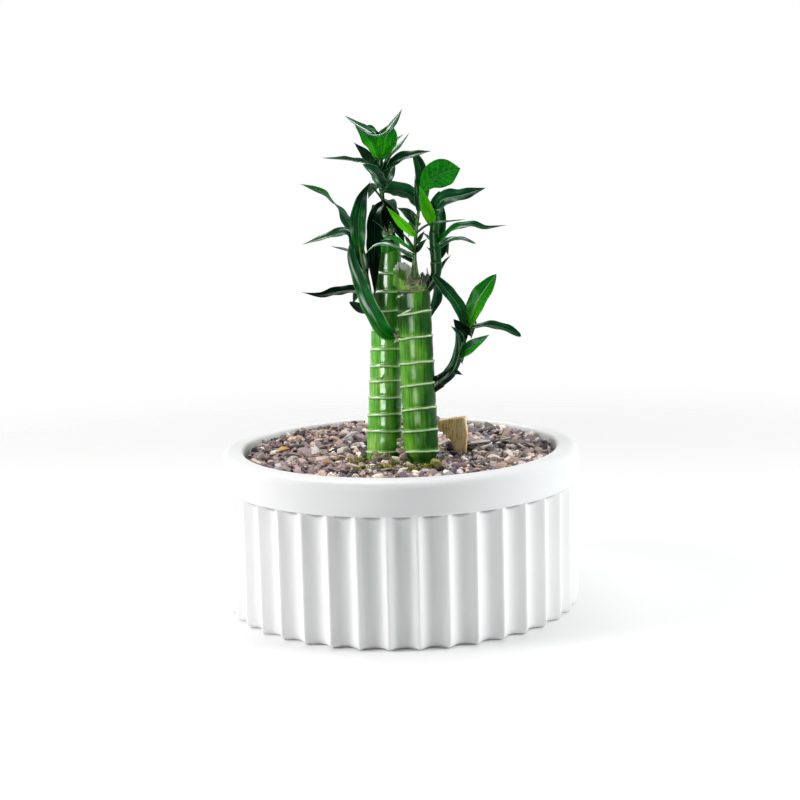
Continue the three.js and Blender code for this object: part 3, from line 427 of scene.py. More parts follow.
class Shape:
    """Mesh data in millimetres that is put together part by part, with named values for points."""

    def __init__(self):
        self.points = []
        self.faces = []
        self.values = collections.defaultdict(list)
        self.count = 0

    def add(self, points, faces, **values):
        points = np.asarray(points, float).reshape(-1, 3)
        self.points.append(points)
        self.faces.extend([k + self.count for k in face] for face in faces)
        for name, value in values.items():
            self.values[name].append(np.broadcast_to(value, points.shape))
        self.count += len(points)

    def loft(self, rings, closed=True, **values):
        """Skin over rings of points. Values are given for each ring and column, or for all."""
        rings = np.asarray(rings, float)
        rows, columns = rings.shape[:2]
        index = np.arange(rows * columns).reshape(rows, columns)
        beside = np.roll(index, -1, axis=1)
        quads = np.stack([index[:-1], beside[:-1], beside[1:], index[1:]], axis=-1)
        faces = quads.reshape(-1, 4).tolist()
        if closed:
            faces += [index[0][::-1].tolist(), index[-1].tolist()]
        spread = {name: np.broadcast_to(value, rings.shape).reshape(-1, 3)
                  for name, value in values.items()}
        self.add(rings, faces, **spread)

    def piece(self, name, paint, slot, nodes, sharp=None):
        """The finished object: it rides on the body, and stands for the named nodes."""
        mesh = bpy.data.meshes.new(name)
        mesh.from_pydata((np.vstack(self.points) * MM).tolist(), [], self.faces)
        for key, parts in self.values.items():
            layer = mesh.attributes.new(key, "FLOAT_VECTOR", "POINT")
            layer.data.foreach_set("vector", np.vstack(parts).ravel())
        mesh.materials.append(paint.material)
        mesh.shade_smooth()
        if sharp is not None:
            mesh.set_sharp_from_angle(angle=math.radians(sharp))
        piece = bpy.data.objects.new(name, mesh)
        scene.collection.objects.link(piece)
        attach(piece, "root")
        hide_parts(*nodes)
        return piece


def around(count):
    """Equal steps of angle, once round."""
    return np.arange(count) * 2 * np.pi / count


def ring(turn, radius, height):
    """Points round the axis at the given angles, with one radius and height or one for each."""
    across = radius * np.cos(turn)
    return np.stack([across, radius * np.sin(turn), np.broadcast_to(height, across.shape)], axis=-1)


def hump(away, spread):
    """Bell curve, 1 high."""
    return np.exp(-(away / spread) ** 2)


def unit(vectors):
    """Vectors of length 1."""
    vectors = np.asarray(vectors, float)
    return vectors / np.linalg.norm(vectors, axis=-1, keepdims=True)


def turned_about(vectors, axes, angles):
    """Each vector turned about its own unit axis by its own angle."""
    cos, sin = np.cos(angles)[:, None], np.sin(angles)[:, None]
    dot = np.sum(vectors * axes, axis=-1, keepdims=True)
    return vectors * cos + np.cross(axes, vectors) * sin + axes * dot * (1 - cos)


class Curve:
    """Centripetal Catmull-Rom curve through points, read at shares of its length."""

    SAMPLES = 240

    def __init__(self, points):
        knots = np.array(points, float)
        knots = np.vstack([2 * knots[0] - knots[1], knots, 2 * knots[-1] - knots[-2]])
        spans = len(knots) - 3
        places = []
        for at in np.linspace(0, spans, self.SAMPLES + 1):
            span = min(int(at), spans - 1)
            places.append(self.between(knots[span:span + 4], at - span))
        self.places = np.array(places)
        steps = np.linalg.norm(np.diff(self.places, axis=0), axis=1)
        self.reach = np.concatenate([[0], np.cumsum(steps)])
        self.length = self.reach[-1]

    @staticmethod
    def between(knots, share):
        """Place at a share of the way from the second of four knots to the third."""
        gap = np.sqrt(np.linalg.norm(np.diff(knots, axis=0), axis=1))
        before, start, end, after = knots
        leave = ((start - before) / gap[0] - (end - before) / (gap[0] + gap[1])
                 + (end - start) / gap[1]) * gap[1]
        arrive = ((end - start) / gap[1] - (after - start) / (gap[1] + gap[2])
                  + (after - end) / gap[2]) * gap[1]
        square = -3 * start + 3 * end - 2 * leave - arrive
        cube = 2 * start - 2 * end + leave + arrive
        return start + leave * share + square * share ** 2 + cube * share ** 3

    def at(self, shares):
        wanted = np.asarray(shares) * self.length
        return np.stack([np.interp(wanted, self.reach, self.places[:, k]) for k in range(3)], axis=-1)

    def direction(self, shares):
        shares = np.asarray(shares, float)
        nudge = 0.004
        ahead, behind = np.clip(shares + nudge, 0, 1), np.clip(shares - nudge, 0, 1)
        return unit(self.at(ahead) - self.at(behind))


FRONT = np.array([0, -1, 0.15])
TUBE_ROW = 0.8


def carried(along):
    """A normal to each direction, the nearest to the front at the last one and carried back."""
    normals = np.zeros_like(along)
    start = FRONT - along[-1] * np.dot(FRONT, along[-1])
    if np.linalg.norm(start) < 0.2:
        start = np.cross(along[-1], (1, 0, 0))
    normal = unit(start)
    for k in range(len(along) - 1, -1, -1):
        normal = unit(normal - along[k] * np.dot(normal, along[k]))
        normals[k] = normal
    return normals


def hoops(curve, shares, radius, right, up):
    """Rings round a curve at shares of its length: a cross-section of radius 1, grown to the radius."""
    along = curve.direction(shares)
    normal = carried(along)
    side = np.cross(along, normal)
    return (curve.at(shares)[:, None]
            + right[None, :, None] * (radius[:, None] * side)[:, None]
            + up[None, :, None] * (radius[:, None] * normal)[:, None])


def tube(shape, points, radii, sides=6, rows=None, flatten=1.0):
    """Round or flattened rod along points in mm, with radii at equal shares of its length."""
    curve = Curve(points)
    shares = np.linspace(0, 1, (rows or max(int(curve.length / TUBE_ROW), 4)) + 1)
    radius = np.interp(shares, np.linspace(0, 1, len(radii)), radii)
    angle = around(sides)
    shape.loft(hoops(curve, shares, radius, np.cos(angle), flatten * np.sin(angle)))


def blade_width(width, outline, shares):
    """Width of a blade at shares of its length, from its base through its widest place."""
    rising = outline.base + (1 - outline.base) * np.sin(np.pi / 2 * np.clip(shares / outline.widest, 0, 1))
    falling = np.cos(np.pi / 2 * np.clip((shares - outline.widest) / (1 - outline.widest), 0, 1))
    whole = np.where(shares < outline.widest, rising, np.abs(falling) ** outline.taper)
    return np.maximum(width * whole, TIP_WIDTH)


ACROSS = np.array([-1, -0.86, -0.7, -0.54, -0.38, -0.22, -0.1, -0.04, 0,
                   0.04, 0.1, 0.22, 0.38, 0.54, 0.7, 0.86, 1])
BLADE_THICKNESS = 0.42
CLASP = 2.6
CLASP_END = 0.14
WAVINESS = 0.13
WAVE_LENGTH = 11
WIDEST_WAVE = 4.5
EDGE_DROOP = 0.08
CREASE_WIDTH = 0.07
UPPER_CREASE = 0.07
LOWER_CREASE = 0.16
ROOT_LIGHT = 0.12
TONE_SPREAD = 0.05


def blade(shape, plan, numbers):
    """One thin leaf: folded along its midrib, clasping the stem at its base, wavy at its edges."""
    curve = Curve(plan.path)
    rows = int(np.clip(curve.length / LEAF_ROW, *LEAF_ROWS))
    shares = np.linspace(0, 1, rows + 1)
    centre, along = curve.at(shares), curve.direction(shares)
    side = unit(np.cross(along, unit(plan.face)))
    side = turned_about(side, along, np.radians(plan.twist) * shares)
    normal = np.cross(side, along)
    half = blade_width(plan.width, plan.outline, shares)[:, None] / 2
    clasp = 1 + CLASP * np.clip(1 - shares / CLASP_END, 0, 1) ** 2
    fold = (math.atan(plan.fold) * clasp)[:, None]
    reach = np.abs(ACROSS)[None, :]
    waves = curve.length / WAVE_LENGTH
    phase = np.where(ACROSS < 0, numbers.random(), numbers.random())[None, :]
    swing = np.sin(2 * np.pi * (waves * shares[:, None] + phase)) * np.sin(np.pi * shares)[:, None]
    wave = WAVINESS * np.minimum(half, WIDEST_WAVE) * swing * reach ** 1.6
    rise = half * np.sin(fold) * reach ** 1.15 - EDGE_DROOP * half * reach ** 4 + wave
    thick = np.minimum(BLADE_THICKNESS * (1 - 0.7 * reach ** 2), half * 1.2) / 2
    crease = hump(ACROSS[None, :], CREASE_WIDTH) * np.minimum(half, 1.5)
    flat = centre[:, None] + side[:, None] * (half * np.cos(fold) * ACROSS)[..., None]
    upper = flat + normal[:, None] * (rise + thick - UPPER_CREASE * crease)[..., None]
    lower = flat + normal[:, None] * (rise - thick - LOWER_CREASE * crease)[..., None]
    rings = np.concatenate([upper, lower[:, ::-1]], axis=1)
    look = plan.look
    spread = rings.shape[:2]
    run = np.broadcast_to(shares[:, None], spread)
    across = np.broadcast_to(np.concatenate([ACROSS, ACROSS[::-1]]), spread)
    under = np.broadcast_to(np.repeat([0.0, 1.0], len(ACROSS)), spread)
    # The painted sheen, which stands for reflected light, lies as a broken streak along one half.
    sheen_half = 1 if numbers.random() < 0.5 else -1
    light = np.where(under > 0.5, look.lower, look.upper) + ROOT_LIGHT * np.clip(1 - 3 * run, 0, 1)
    light = light + look.tip * np.clip(2.2 * run - 0.9, 0, 1) + look.split * np.sign(across)
    light = light + TONE_SPREAD * (numbers.random() - 0.5)
    streak = np.sin(np.pi * np.clip(across * sheen_half, 0, 1)) ** 1.5
    broken = 0.5 + 0.5 * np.sin(2 * np.pi * (1.6 * run + numbers.random())) * np.sin(9 * run + 6 * across)
    sheen = look.sheen * (0.2 + 0.8 * streak * broken)
    even = np.ones(spread)
    shape.loft(
        rings,
        leaf_at=np.stack([across, run * curve.length, under], axis=-1),
        leaf_tone=np.stack([light, sheen, look.rib * even], axis=-1),
        leaf_marks=np.stack([look.edge * even, look.veins * even, look.branching * even], axis=-1),
    )


NODE_SPACING = 7.5
STEM_FLARE = 0.14


def stalk(shape, plan):
    """Stem of a shoot, in short sheathed lengths that flare upwards."""
    curve = Curve(plan["stem"])
    shares = np.linspace(0, 1, int(curve.length / STEM_ROW) + 1)
    radii = plan["radii"]
    radius = np.interp(shares, np.linspace(0, 1, len(radii)), radii)
    flare = (shares * curve.length / NODE_SPACING) % 1
    closing = np.sqrt(np.clip((1.0 - shares) / 0.03, 0.04, 1))
    radius = radius * (1 + STEM_FLARE * (flare ** 2 - 0.5)) * closing
    angle = around(STEM_SIDES)
    keel = 1 + 0.1 * np.clip(np.sin(angle), 0, 1) ** 6
    rings = hoops(curve, shares, radius, np.cos(angle) * keel, np.sin(angle) * keel)
    even = np.ones(rings.shape[:2])
    low_tone, high_tone, stripe_highlight, olive = plan["skin"]
    tone = (low_tone + (high_tone - low_tone) * shares[:, None]) * even
    stripe_highlight = stripe_highlight * np.minimum(1, 2.2 / radius)[:, None] ** 2
    shape.loft(
        rings,
        stem_at=np.stack([angle[None, :] * even, flare[:, None] * even, 0 * even], axis=-1),
        stem_skin=np.stack([tone, stripe_highlight * even, olive * np.clip(4 - radius, 0, 1)[:, None] * even], axis=-1),
    )


def shoot(name, plan, leaf_paint, stem_paint, seed):
    """A shoot's leaves and its stem, as two pieces that stand for its node."""
    numbers = random.Random(seed)
    leaves = Shape()
    for leaf_plan in plan["leaves"]:
        blade(leaves, leaf_plan, numbers)
    leaves.piece(name + "_leaves", leaf_paint, "leaf", [name], sharp=60)
    stem = Shape()
    stalk(stem, plan)
    stem.piece(name + "_stem", stem_paint, "leaf", [name])


GREENS = [
    (0.0, (0.0002, 0.006, 0.002)), (0.12, (0.0004, 0.018, 0.005)), (0.3, (0.002, 0.075, 0.01)),
    (0.5, (0.005, 0.2, 0.004)), (0.72, (0.022, 0.36, 0.003)), (0.95, (0.1, 0.55, 0.003)),
]


def make_leaf_paint():
    """Leaf: tone, painted grey reflection, midrib, pale edge painted as a rim highlight, long veins and side
    veins, all set leaf by leaf.
    """
    paint = Paint("leaf", Coat_Roughness=0.2, Specular_Tint=(0.6, 1, 0.7, 1))
    across, length, under = paint.attribute("leaf_at")
    tone, sheen, rib = paint.attribute("leaf_tone")
    edge, veins, branching = paint.attribute("leaf_marks")
    out = paint.math("ABSOLUTE", across)
    cloud = paint.span(paint.noise(160, 3), -0.16, 0.16)
    band = paint.streaks(paint.times(across, 6.0), paint.times(length, 0.07))
    bands = paint.times(paint.math("SUBTRACT", band, 0.5), paint.times(veins, 0.62))
    base = paint.ramp(paint.add(paint.add(tone, cloud), bands), GREENS)
    pale = paint.mix(0.6, base, (0.5, 0.72, 0.55, 1))
    vein = paint.mix(0.5, base, (0.12, 0.6, 0.1, 1))
    slant = paint.math("SUBTRACT", paint.times(length, 0.34), paint.times(out, 1.3))
    wander = paint.times(paint.noise(500, 2), 0.7)
    herring = paint.step(paint.math("SINE", paint.times(paint.add(slant, wander), 2 * math.pi)), 0.8, 1.0)
    inner = paint.times(paint.step(out, 0.03, 0.12), paint.step(out, 1.0, 0.7))
    cells = {"Vector": paint.node("TexCoord", {}).outputs["Object"], "Scale": 480.0}
    net = paint.step(paint.node("TexVoronoi", cells, feature="DISTANCE_TO_EDGE").outputs[0], 0.12, 0.03)
    side_veins = paint.math("MAXIMUM", herring, paint.times(net, 0.4))
    side_veins = paint.times(paint.times(side_veins, inner), branching)
    veined = paint.mix(side_veins, base, vein)
    # Painted sheen: long streaks of grey-white reflected light over the leaf.
    patch = paint.streaks(paint.times(across, 1.9), paint.times(length, 0.05), tone)
    sheen_share = paint.math("MINIMUM", paint.times(sheen, paint.step(patch, 0.38, 0.66)), 1.0)
    sheen_colour = paint.mix(paint.step(sheen, 0.9, 2.2), (0.025, 0.21, 0.08, 1), (0.74, 0.86, 0.78, 1))
    strength = paint.span(paint.step(sheen, 0.9, 2.2), 0.45, 1.0)
    sheened = paint.mix(paint.times(sheen_share, strength), veined, sheen_colour)
    # Pale midrib; where it is widest and whitest it is a painted highlight.
    middle = paint.times(paint.step(out, paint.add(paint.times(rib, 0.05), 0.04), 0.02), rib)
    # Pale edge: a painted rim highlight, broken along its length.
    broken = paint.step(paint.noise(140, 2), 0.36, 0.56)
    rim = paint.times(paint.times(paint.step(out, 0.8, 0.97), edge), broken)
    marks = paint.times(paint.math("MAXIMUM", middle, rim), paint.span(paint.noise(250, 2), 0.1, 1.1))
    paint.colour(paint.mix(paint.math("MINIMUM", marks, 1.0), sheened, pale))
    paint.rough(paint.add(paint.span(paint.noise(300, 2), 0.26, 0.4), paint.times(under, 0.12)))
    shine = paint.times(paint.step(tone, 0.0, 0.1), paint.step(tone, 0.45, 0.3))
    paint.feed(paint.shader.inputs["Specular IOR Level"], paint.span(shine, 0.01, 0.1))
    paint.feed(paint.shader.inputs["Coat Weight"], paint.span(paint.step(tone, 0.1, 0.3), 0.0, 0.05))
    relief = paint.add(paint.times(band, 0.8), paint.times(side_veins, 0.6))
    paint.bump(paint.times(relief, paint.step(out, 1.0, 0.85)), 0.00003)
    return paint


def make_stem_paint():
    """Stem of a shoot: its own tone, a pale front line that is partly a painted highlight, and dark notches
    at its nodes.
    """
    paint = Paint("stem", Coat_Weight=0.07, Coat_Roughness=0.2, Specular_IOR_Level=0.08)
    angle, flare, _ = paint.attribute("stem_at")
    tone, strength, olive = paint.attribute("stem_skin")
    streak = paint.noise(900, 3, (1, 1, 0.12))
    green = paint.ramp(paint.add(tone, paint.span(streak, -0.25, 0.25)), GREENS)
    dull = paint.ramp(streak, [
        (0.36, (0.018, 0.045, 0.008)), (0.5, (0.05, 0.11, 0.025)), (0.66, (0.14, 0.24, 0.08))])
    base = paint.mix(olive, green, dull)
    # Pale stripe on the side facing the front: partly the stem's own pale line, partly a painted highlight.
    stripe_highlight = paint.times(paint.step(paint.math("SINE", angle), 0.955, 1.0), strength)
    stripe_highlit = paint.mix(paint.times(stripe_highlight, 0.75), base, (0.34, 0.52, 0.28, 1))
    low = paint.mix(paint.times(paint.step(flare, 0.12, 0.0), 0.6), stripe_highlit, (0.006, 0.03, 0.008, 1))
    tip = paint.mix(paint.times(paint.step(flare, 0.88, 1.0), 0.35), low, (0.26, 0.36, 0.16, 1))
    paint.colour(tip)
    paint.rough(paint.span(streak, 0.26, 0.42))
    paint.bump(streak, 0.0001)
    return paint


LEAF_PAINT = make_leaf_paint()
STEM_PAINT = make_stem_paint()
SHOOTS = {"top_shoot": TOP_SHOOT, "middle_shoot": MIDDLE_SHOOT, "right_shoot": RIGHT_SHOOT,
          "left_shoot": LEFT_SHOOT, "lower_shoot": LOWER_SHOOT}
for label, seed in zip(SHOOTS, (3, 5, 7, 9, 11)):
    shoot(label, SHOOTS[label], LEAF_PAINT, STEM_PAINT, seed)


# Pot

def groove_depth(phase):
    """Share of a groove's depth, 1 in its middle: hollows that meet in narrow rounded ribs."""
    away = 1 - np.abs(phase)
    rounded = np.sqrt(away ** 2 + RIB_ROUNDING ** 2) - RIB_ROUNDING
    rounded = rounded / (math.sqrt(1 + RIB_ROUNDING ** 2) - RIB_ROUNDING)
    return rounded * (2 - rounded)


def arc(centre_radius, centre_height, radius, start, end, steps):
    """Radii and heights along an arc, between two angles in degrees."""
    angles = np.radians(np.linspace(start, end, steps))
    return [(centre_radius + radius * math.cos(a), centre_height + radius * math.sin(a)) for a in angles]


def make_pot():
    """The pot's whole skin: recess, foot, fluted wall, band, lip and cavity."""
    columns = FLUTE_COUNT * COLUMNS_PER_FLUTE
    turn = around(columns) - np.pi / 2
    phase = ((turn + np.pi / 2) * FLUTE_COUNT / np.pi + 1) % 2 - 1
    groove = groove_depth(phase)
    wall = RIB_RADIUS - FLUTE_DEPTH * groove
    edge = POT_RADIUS - BAND_EDGE_ROUNDING
    round_rows = [(0.5, RECESS_DEPTH), (RECESS_RADIUS - 1, RECESS_DEPTH), (RECESS_RADIUS, RECESS_DEPTH - 0.5),
                  (RECESS_RADIUS + 0.3, 0.2), (RECESS_RADIUS + 0.8, 0)]
    rings = [ring(turn, radius, height) for radius, height in round_rows]
    for lean in np.radians(np.linspace(0, 90, 9)):
        height = FOOT_HEIGHT * (1 - math.cos(lean))
        inset = FOOT_INSET * (1 - math.sin(lean))
        rings.append(ring(turn, wall - inset, height))
    for height in FLUTE_ROWS:
        rings.append(ring(turn, wall, height))
    fluted = len(rings)
    for share in SILL_SHARES:
        rings.append(ring(turn, np.maximum(wall + (edge - wall) * share, wall), BAND_BOTTOM))
    lip = POT_RADIUS - LIP_ROUNDING
    inner = LIP_INNER_RADIUS + LIP_INNER_ROUNDING
    band_rows = [
        *arc(edge, BAND_BOTTOM + BAND_EDGE_ROUNDING, BAND_EDGE_ROUNDING, -90, 0, 5),
        *[(POT_RADIUS, height) for height in BAND_ROWS],
        *arc(lip, POT_HEIGHT - LIP_ROUNDING, LIP_ROUNDING, 0, 90, 11),
        *[(radius, POT_HEIGHT) for radius in LIP_ROWS],
        *arc(inner, POT_HEIGHT - LIP_INNER_ROUNDING, LIP_INNER_ROUNDING, 90, 180, 7),
        (LIP_INNER_RADIUS, 76), (78.6, 65), (CAVITY_RADIUS, FLOOR_THICKNESS + CAVITY_CORNER),
        (CAVITY_RADIUS - CAVITY_CORNER, FLOOR_THICKNESS), (0.5, FLOOR_THICKNESS),
    ]
    rings += [ring(turn, radius, height) for radius, height in band_rows]
    depth = np.zeros((len(rings), columns))
    depth[len(round_rows):fluted] = groove
    heights = np.array([points[:, 2] for points in rings])
    pot = Shape()
    pot.loft(rings, glaze_at=np.stack([depth, heights, np.zeros(depth.shape)], axis=-1))
    return pot


def make_glaze():
    """White glaze, a little uneven, with painted shade in the grooves and a painted shadow under the band."""
    paint = Paint("glaze", Specular_IOR_Level=0.15)
    depth, height, _ = paint.attribute("glaze_at")
    tint = paint.mix(paint.noise(18, 3), (0.85, 0.855, 0.865, 1), (0.9, 0.9, 0.895, 1))
    banded = paint.step(height, BAND_BOTTOM - 0.4, BAND_BOTTOM + 0.2)
    tint = paint.mix(banded, tint, (0.79, 0.795, 0.805, 1))
    # Painted shade in the grooves, greyer towards their middles.
    groove_shade = paint.times(paint.step(depth, 0.25, 1.0), 0.2)
    groove_shaded = paint.mix(groove_shade, tint, (0.52, 0.53, 0.56, 1))
    # Painted shadow under the band's ledge, at the top of each groove.
    reach = paint.add(height, paint.times(depth, 2.6))
    near_band = paint.step(reach, BAND_BOTTOM - 0.2, BAND_BOTTOM + 1.6)
    band_shadow = paint.times(near_band, paint.step(depth, 0.15, 0.6))
    paint.colour(paint.mix(paint.times(band_shadow, 0.75), groove_shaded, (0.2, 0.2, 0.22, 1)))
    paint.rough(paint.span(paint.noise(60, 3), 0.36, 0.42))
    paint.bump(paint.add(paint.times(paint.noise(14, 1), 6.0), paint.noise(700, 2)), 0.00001)
    return paint


make_pot().piece("pot_glazed", make_glaze(), "pot", ["pot"], sharp=50)


# Canes

RING_HEIGHT = 0.42
NODE_FLARE = 0.34
FRONT_LIFT = 1.1
SWELL = 0.22
# Along the cane: a scar's crest, its flare below and above, the hollow over it and the painted shadow line
# under it.
CREST_SPREAD = 0.42
FLARE_BELOW = 2.2
FLARE_ABOVE = 0.7
HOLLOW_DEPTH = 0.25
HOLLOW_RISE = 1.0
HOLLOW_SPREAD = 0.6
LINE_DROP = 0.75
LINE_SPREAD = 0.35
CANE_COLUMNS = 96
CANE_ROW = 0.9
SCAR_STEPS = np.array([0.18, 0.35, 0.55, 0.8, 1.1, 1.6, 2.2])
SCAR_OFFSETS = np.concatenate([-SCAR_STEPS[::-1], [0], SCAR_STEPS])
# Rings over a cane's cut top: share of its radius, and how far each is sunk.
CUT_FACE = ((0.95, 0), (0.8, 0.2), (0.55, 0.8), (0.2, 1.0), (0.02, 1.0))


def cane_centre(plan, height):
    """Where a cane's axis is at one height, or at each of many."""
    low, high = np.array(plan["low"], float), np.array(plan["high"], float)
    share = (np.asarray(height) - low[2]) / (high[2] - low[2])
    return low + (high - low) * share[..., None]


def rows_between(low, high):
    """Rows of a cane between two others."""
    steps = max(int(np.mean(high - low) / CANE_ROW), 2)
    return [low + (high - low) * (j / steps) for j in range(1, steps)]


def make_cane(plan, seed, ragged_top):
    """A cane with its leaf scars as thin raised rings, and faintly swollen between them."""
    numbers = random.Random(seed)
    bottom, top_height = plan["low"][2], plan["high"][2]
    angle = around(CANE_COLUMNS)
    degrees = np.degrees(angle)
    scars = plan["scars"]
    edges = [scar for scar in scars if scar.end - scar.start >= 360]
    paths = []
    lift = FRONT_LIFT * (np.clip(-np.sin(angle), 0, 1) - 0.5)
    for scar in scars:
        wobble = sum(0.3 * 0.72 ** k * np.sin(k * angle + PHASE_RANGE * numbers.random())
                     for k in range(2, 8))
        paths.append(scar.height + scar.slant * np.cos(angle) + wobble + lift)
    rows = [np.full(angle.shape, float(CANE_FOOT))]
    whole = [path for scar, path in zip(scars, paths) if scar in edges]
    for k, path in enumerate(whole):
        before = whole[k - 1] + SCAR_OFFSETS[-1] if k else rows[0]
        rows += rows_between(before, path + SCAR_OFFSETS[0])
        rows += [path + offset for offset in SCAR_OFFSETS]
    top = np.full(angle.shape, top_height - 0.6)
    if ragged_top:
        waves = sum(np.sin(k * angle + PHASE_RANGE * numbers.random()) / k for k in (2, 3, 5, 8))
        top = top + ragged_top * (waves - 1)
    rows += rows_between(rows[-1], top) + [top]
    heights = np.array(rows)
    radius = np.interp(heights, [bottom, top_height], plan["radii"])
    near = np.zeros(heights.shape)
    # The painted shadow line under each scar, kept as a value of each point.
    below = np.zeros(heights.shape)
    for scar, path in zip(scars, paths):
        away = heights - path
        cover = np.ones(angle.shape)
        if scar.end - scar.start < 360:
            middle, width = (scar.start + scar.end) / 2, (scar.end - scar.start) / 2
            cover = np.clip((1 - np.abs(degrees - middle) / width) * 4, 0, 1)
        crest = hump(away, CREST_SPREAD) * cover
        flare = hump(np.minimum(away, 0), FLARE_BELOW) * hump(np.maximum(away, 0), FLARE_ABOVE)
        hollow = HOLLOW_DEPTH * hump(away - HOLLOW_RISE, HOLLOW_SPREAD)
        radius += RING_HEIGHT * crest + (NODE_FLARE * flare - hollow) * cover
        near = np.maximum(near, crest)
        below = np.maximum(below, hump(away + LINE_DROP, LINE_SPREAD) * cover)
    marks = np.array([CANE_FOOT, *[scar.height for scar in edges], top_height])
    part = np.clip(np.searchsorted(marks, heights) - 1, 0, len(marks) - 2)
    share = (heights - marks[part]) / (marks[part + 1] - marks[part])
    radius += SWELL * np.sin(np.pi * np.clip(share, 0, 1))
    radius -= plan["waist"] * np.clip((edges[0].height - 1.2 - heights) / 3, 0, 1)
    radius += 0.1 * np.sin(3 * angle + heights / 17) + 0.06 * np.sin(5 * angle - heights / 9)
    rings = cane_centre(plan, heights) + ring(angle, radius, 0)
    rim = rings[-1] + [0, 0, 0.5]
    middle = rim.mean(axis=0)
    face = [middle + (rim - middle) * reach - [0, 0, sunk] for reach, sunk in CUT_FACE]
    rings = np.concatenate([rings, face])
    pad = np.zeros((len(CUT_FACE), CANE_COLUMNS))
    near, below = np.vstack([near, pad]), np.vstack([below, pad])
    share = np.vstack([share, pad + 2])
    right = np.broadcast_to(np.cos(angle), share.shape)
    behind = np.broadcast_to(np.sin(angle), share.shape)
    cane = Shape()
    cane.loft(rings, cane_at=np.stack([near, below, share], axis=-1),
              cane_side=np.stack([right, behind, rings[:, :, 2]], axis=-1))
    return cane


def make_cane_paint(name, dark, mid, light, speckled, painted_shade_side, foot, shade, coat, cut):
    """Cane: lengthwise streaks, pale scars with a painted shadow line under each, painted shade on one side,
    and painted shadows of leaves in bands.
    """
    paint = Paint(name, Coat_Roughness=0.16, Specular_IOR_Level=0.15)
    near, below, share = paint.attribute("cane_at")
    right, behind, height = paint.attribute("cane_side")
    cloud = paint.noise(70, 3, (1, 1, 0.6))
    streak = paint.noise(950, 3, (1, 1, 0.05))
    fine = paint.noise(2600, 2, (1, 1, 0.08))
    worn_gloss = paint.span(paint.step(paint.noise(110, 3), 0.36, 0.52), 0.5 * coat, coat)
    paint.feed(paint.shader.inputs["Coat Weight"], worn_gloss)
    tone = paint.add(paint.times(cloud, 0.6), paint.times(streak, 0.4))
    # Painted shade towards the +X side, growing from the given cosine of the way round.
    tone = paint.math("SUBTRACT", tone, paint.times(paint.step(right, painted_shade_side, 1.0), 0.3))
    base = paint.ramp(tone, [(0.34, dark), (0.5, mid), (0.66, light)])
    lined = paint.mix(paint.times(paint.step(fine, 0.55, 0.72), speckled), base, (*dark, 1))
    # A band of painted shadow round the given height, on the right side.
    shadow_band = paint.times(paint.step(height, shade - 9, shade - 5), paint.step(height, shade + 9, shade + 5))
    shadow_band = paint.times(shadow_band, paint.step(right, -0.5, 0.3))
    low = paint.math("MAXIMUM", paint.times(paint.step(height, foot, foot - 5), 0.7), paint.times(shadow_band, 0.75))
    low = paint.mix(low, lined, (*dark, 1))
    # Painted shadow of the leaves on the front left, from about 134 mm up.
    leaf_shadow = paint.times(paint.step(height, 134, 150), paint.step(right, 0.1, -0.3))
    leaf_shadow = paint.times(leaf_shadow, paint.step(behind, 0.5, -0.2))
    low = paint.mix(paint.times(leaf_shadow, 0.85), low, (0.002, 0.02, 0.004, 1))
    just_above = paint.times(paint.step(share, 0.22, 0.0), paint.step(share, 1.2, 1.0))
    bloom = paint.times(just_above, paint.span(paint.noise(160, 2), 0.1, 0.7))
    bloomed = paint.mix(bloom, low, (*light, 1))
    # Painted shadow line under each scar.
    shaded = paint.mix(paint.times(below, 0.65), bloomed, (*dark, 1))
    scar = paint.times(paint.step(near, 0.15, 0.8), paint.span(paint.noise(260, 2), 0.2, 1.5))
    ringed = paint.mix(paint.math("MINIMUM", scar, 1.0), shaded, (0.72, 0.88, 0.6, 1))
    grain = paint.span(paint.noise(1500, 3), 0.4, 1.2)
    top = paint.mix(grain, (*dark, 1), (*cut, 1))
    paint.colour(paint.mix(paint.step(share, 1.2, 1.8), ringed, top))
    paint.rough(paint.add(paint.span(cloud, 0.16, 0.32), paint.times(near, 0.2)))
    paint.bump(paint.add(paint.times(streak, 0.7), paint.times(fine, 0.3)), 0.00012)
    return paint


TALL_PAINT = make_cane_paint(
    "tall_cane", dark=(0.012, 0.14, 0.006), mid=(0.115, 0.5, 0.03), light=(0.44, 0.79, 0.15),
    speckled=0.25, painted_shade_side=0.25, foot=70, shade=141, coat=0.9, cut=(0.1, 0.4, 0.02))
CUT_PAINT = make_cane_paint(
    "cut_cane", dark=(0.012, 0.08, 0.010), mid=(0.085, 0.34, 0.022), light=(0.26, 0.6, 0.06),
    speckled=0.5, painted_shade_side=-0.15, foot=80.5, shade=0, coat=0.1, cut=(0.5, 0.46, 0.28))
make_cane(TALL_CANE, 21, 0).piece("tall_cane_stem", TALL_PAINT, "cane", ["tall_cane"], sharp=60)
make_cane(CUT_CANE, 22, 0.5).piece("cut_cane_stem", CUT_PAINT, "cane", ["cut_cane"], sharp=60)


# Gravel

def gravel_level(x, y):
    """Height of the gravel, which rises to the rim and is heaped towards the back."""
    out = np.hypot(x, y) / LIP_INNER_RADIUS
    back = np.maximum(y, 0) / LIP_INNER_RADIUS
    return GRAVEL_LEVEL + GRAVEL_RIM_RISE * out ** 2 + GRAVEL_BACK_RISE * back


# Canes that stand in the gravel: their place and radius.
STANDING = [(*cane_centre(TALL_CANE, 75)[:2], 9.0), (*cane_centre(CUT_CANE, 75)[:2], 8.8)]
CHIP_OUTLINE = [(19.8, 86), (20.2, 90), (34, 91.8), (35, 84), (34, 71), (29.5, 71), (26.5, 79.5), (23, 83.5)]
CHIP_FRONT = 8
CHIP_THICKNESS = 5
CHIP_TURN = -0.15
CHIP_CELL = 0.32
# Where the chip stands in the gravel: left, right, front and back.
CHIP_STAND = (26, 36, 6, 14)


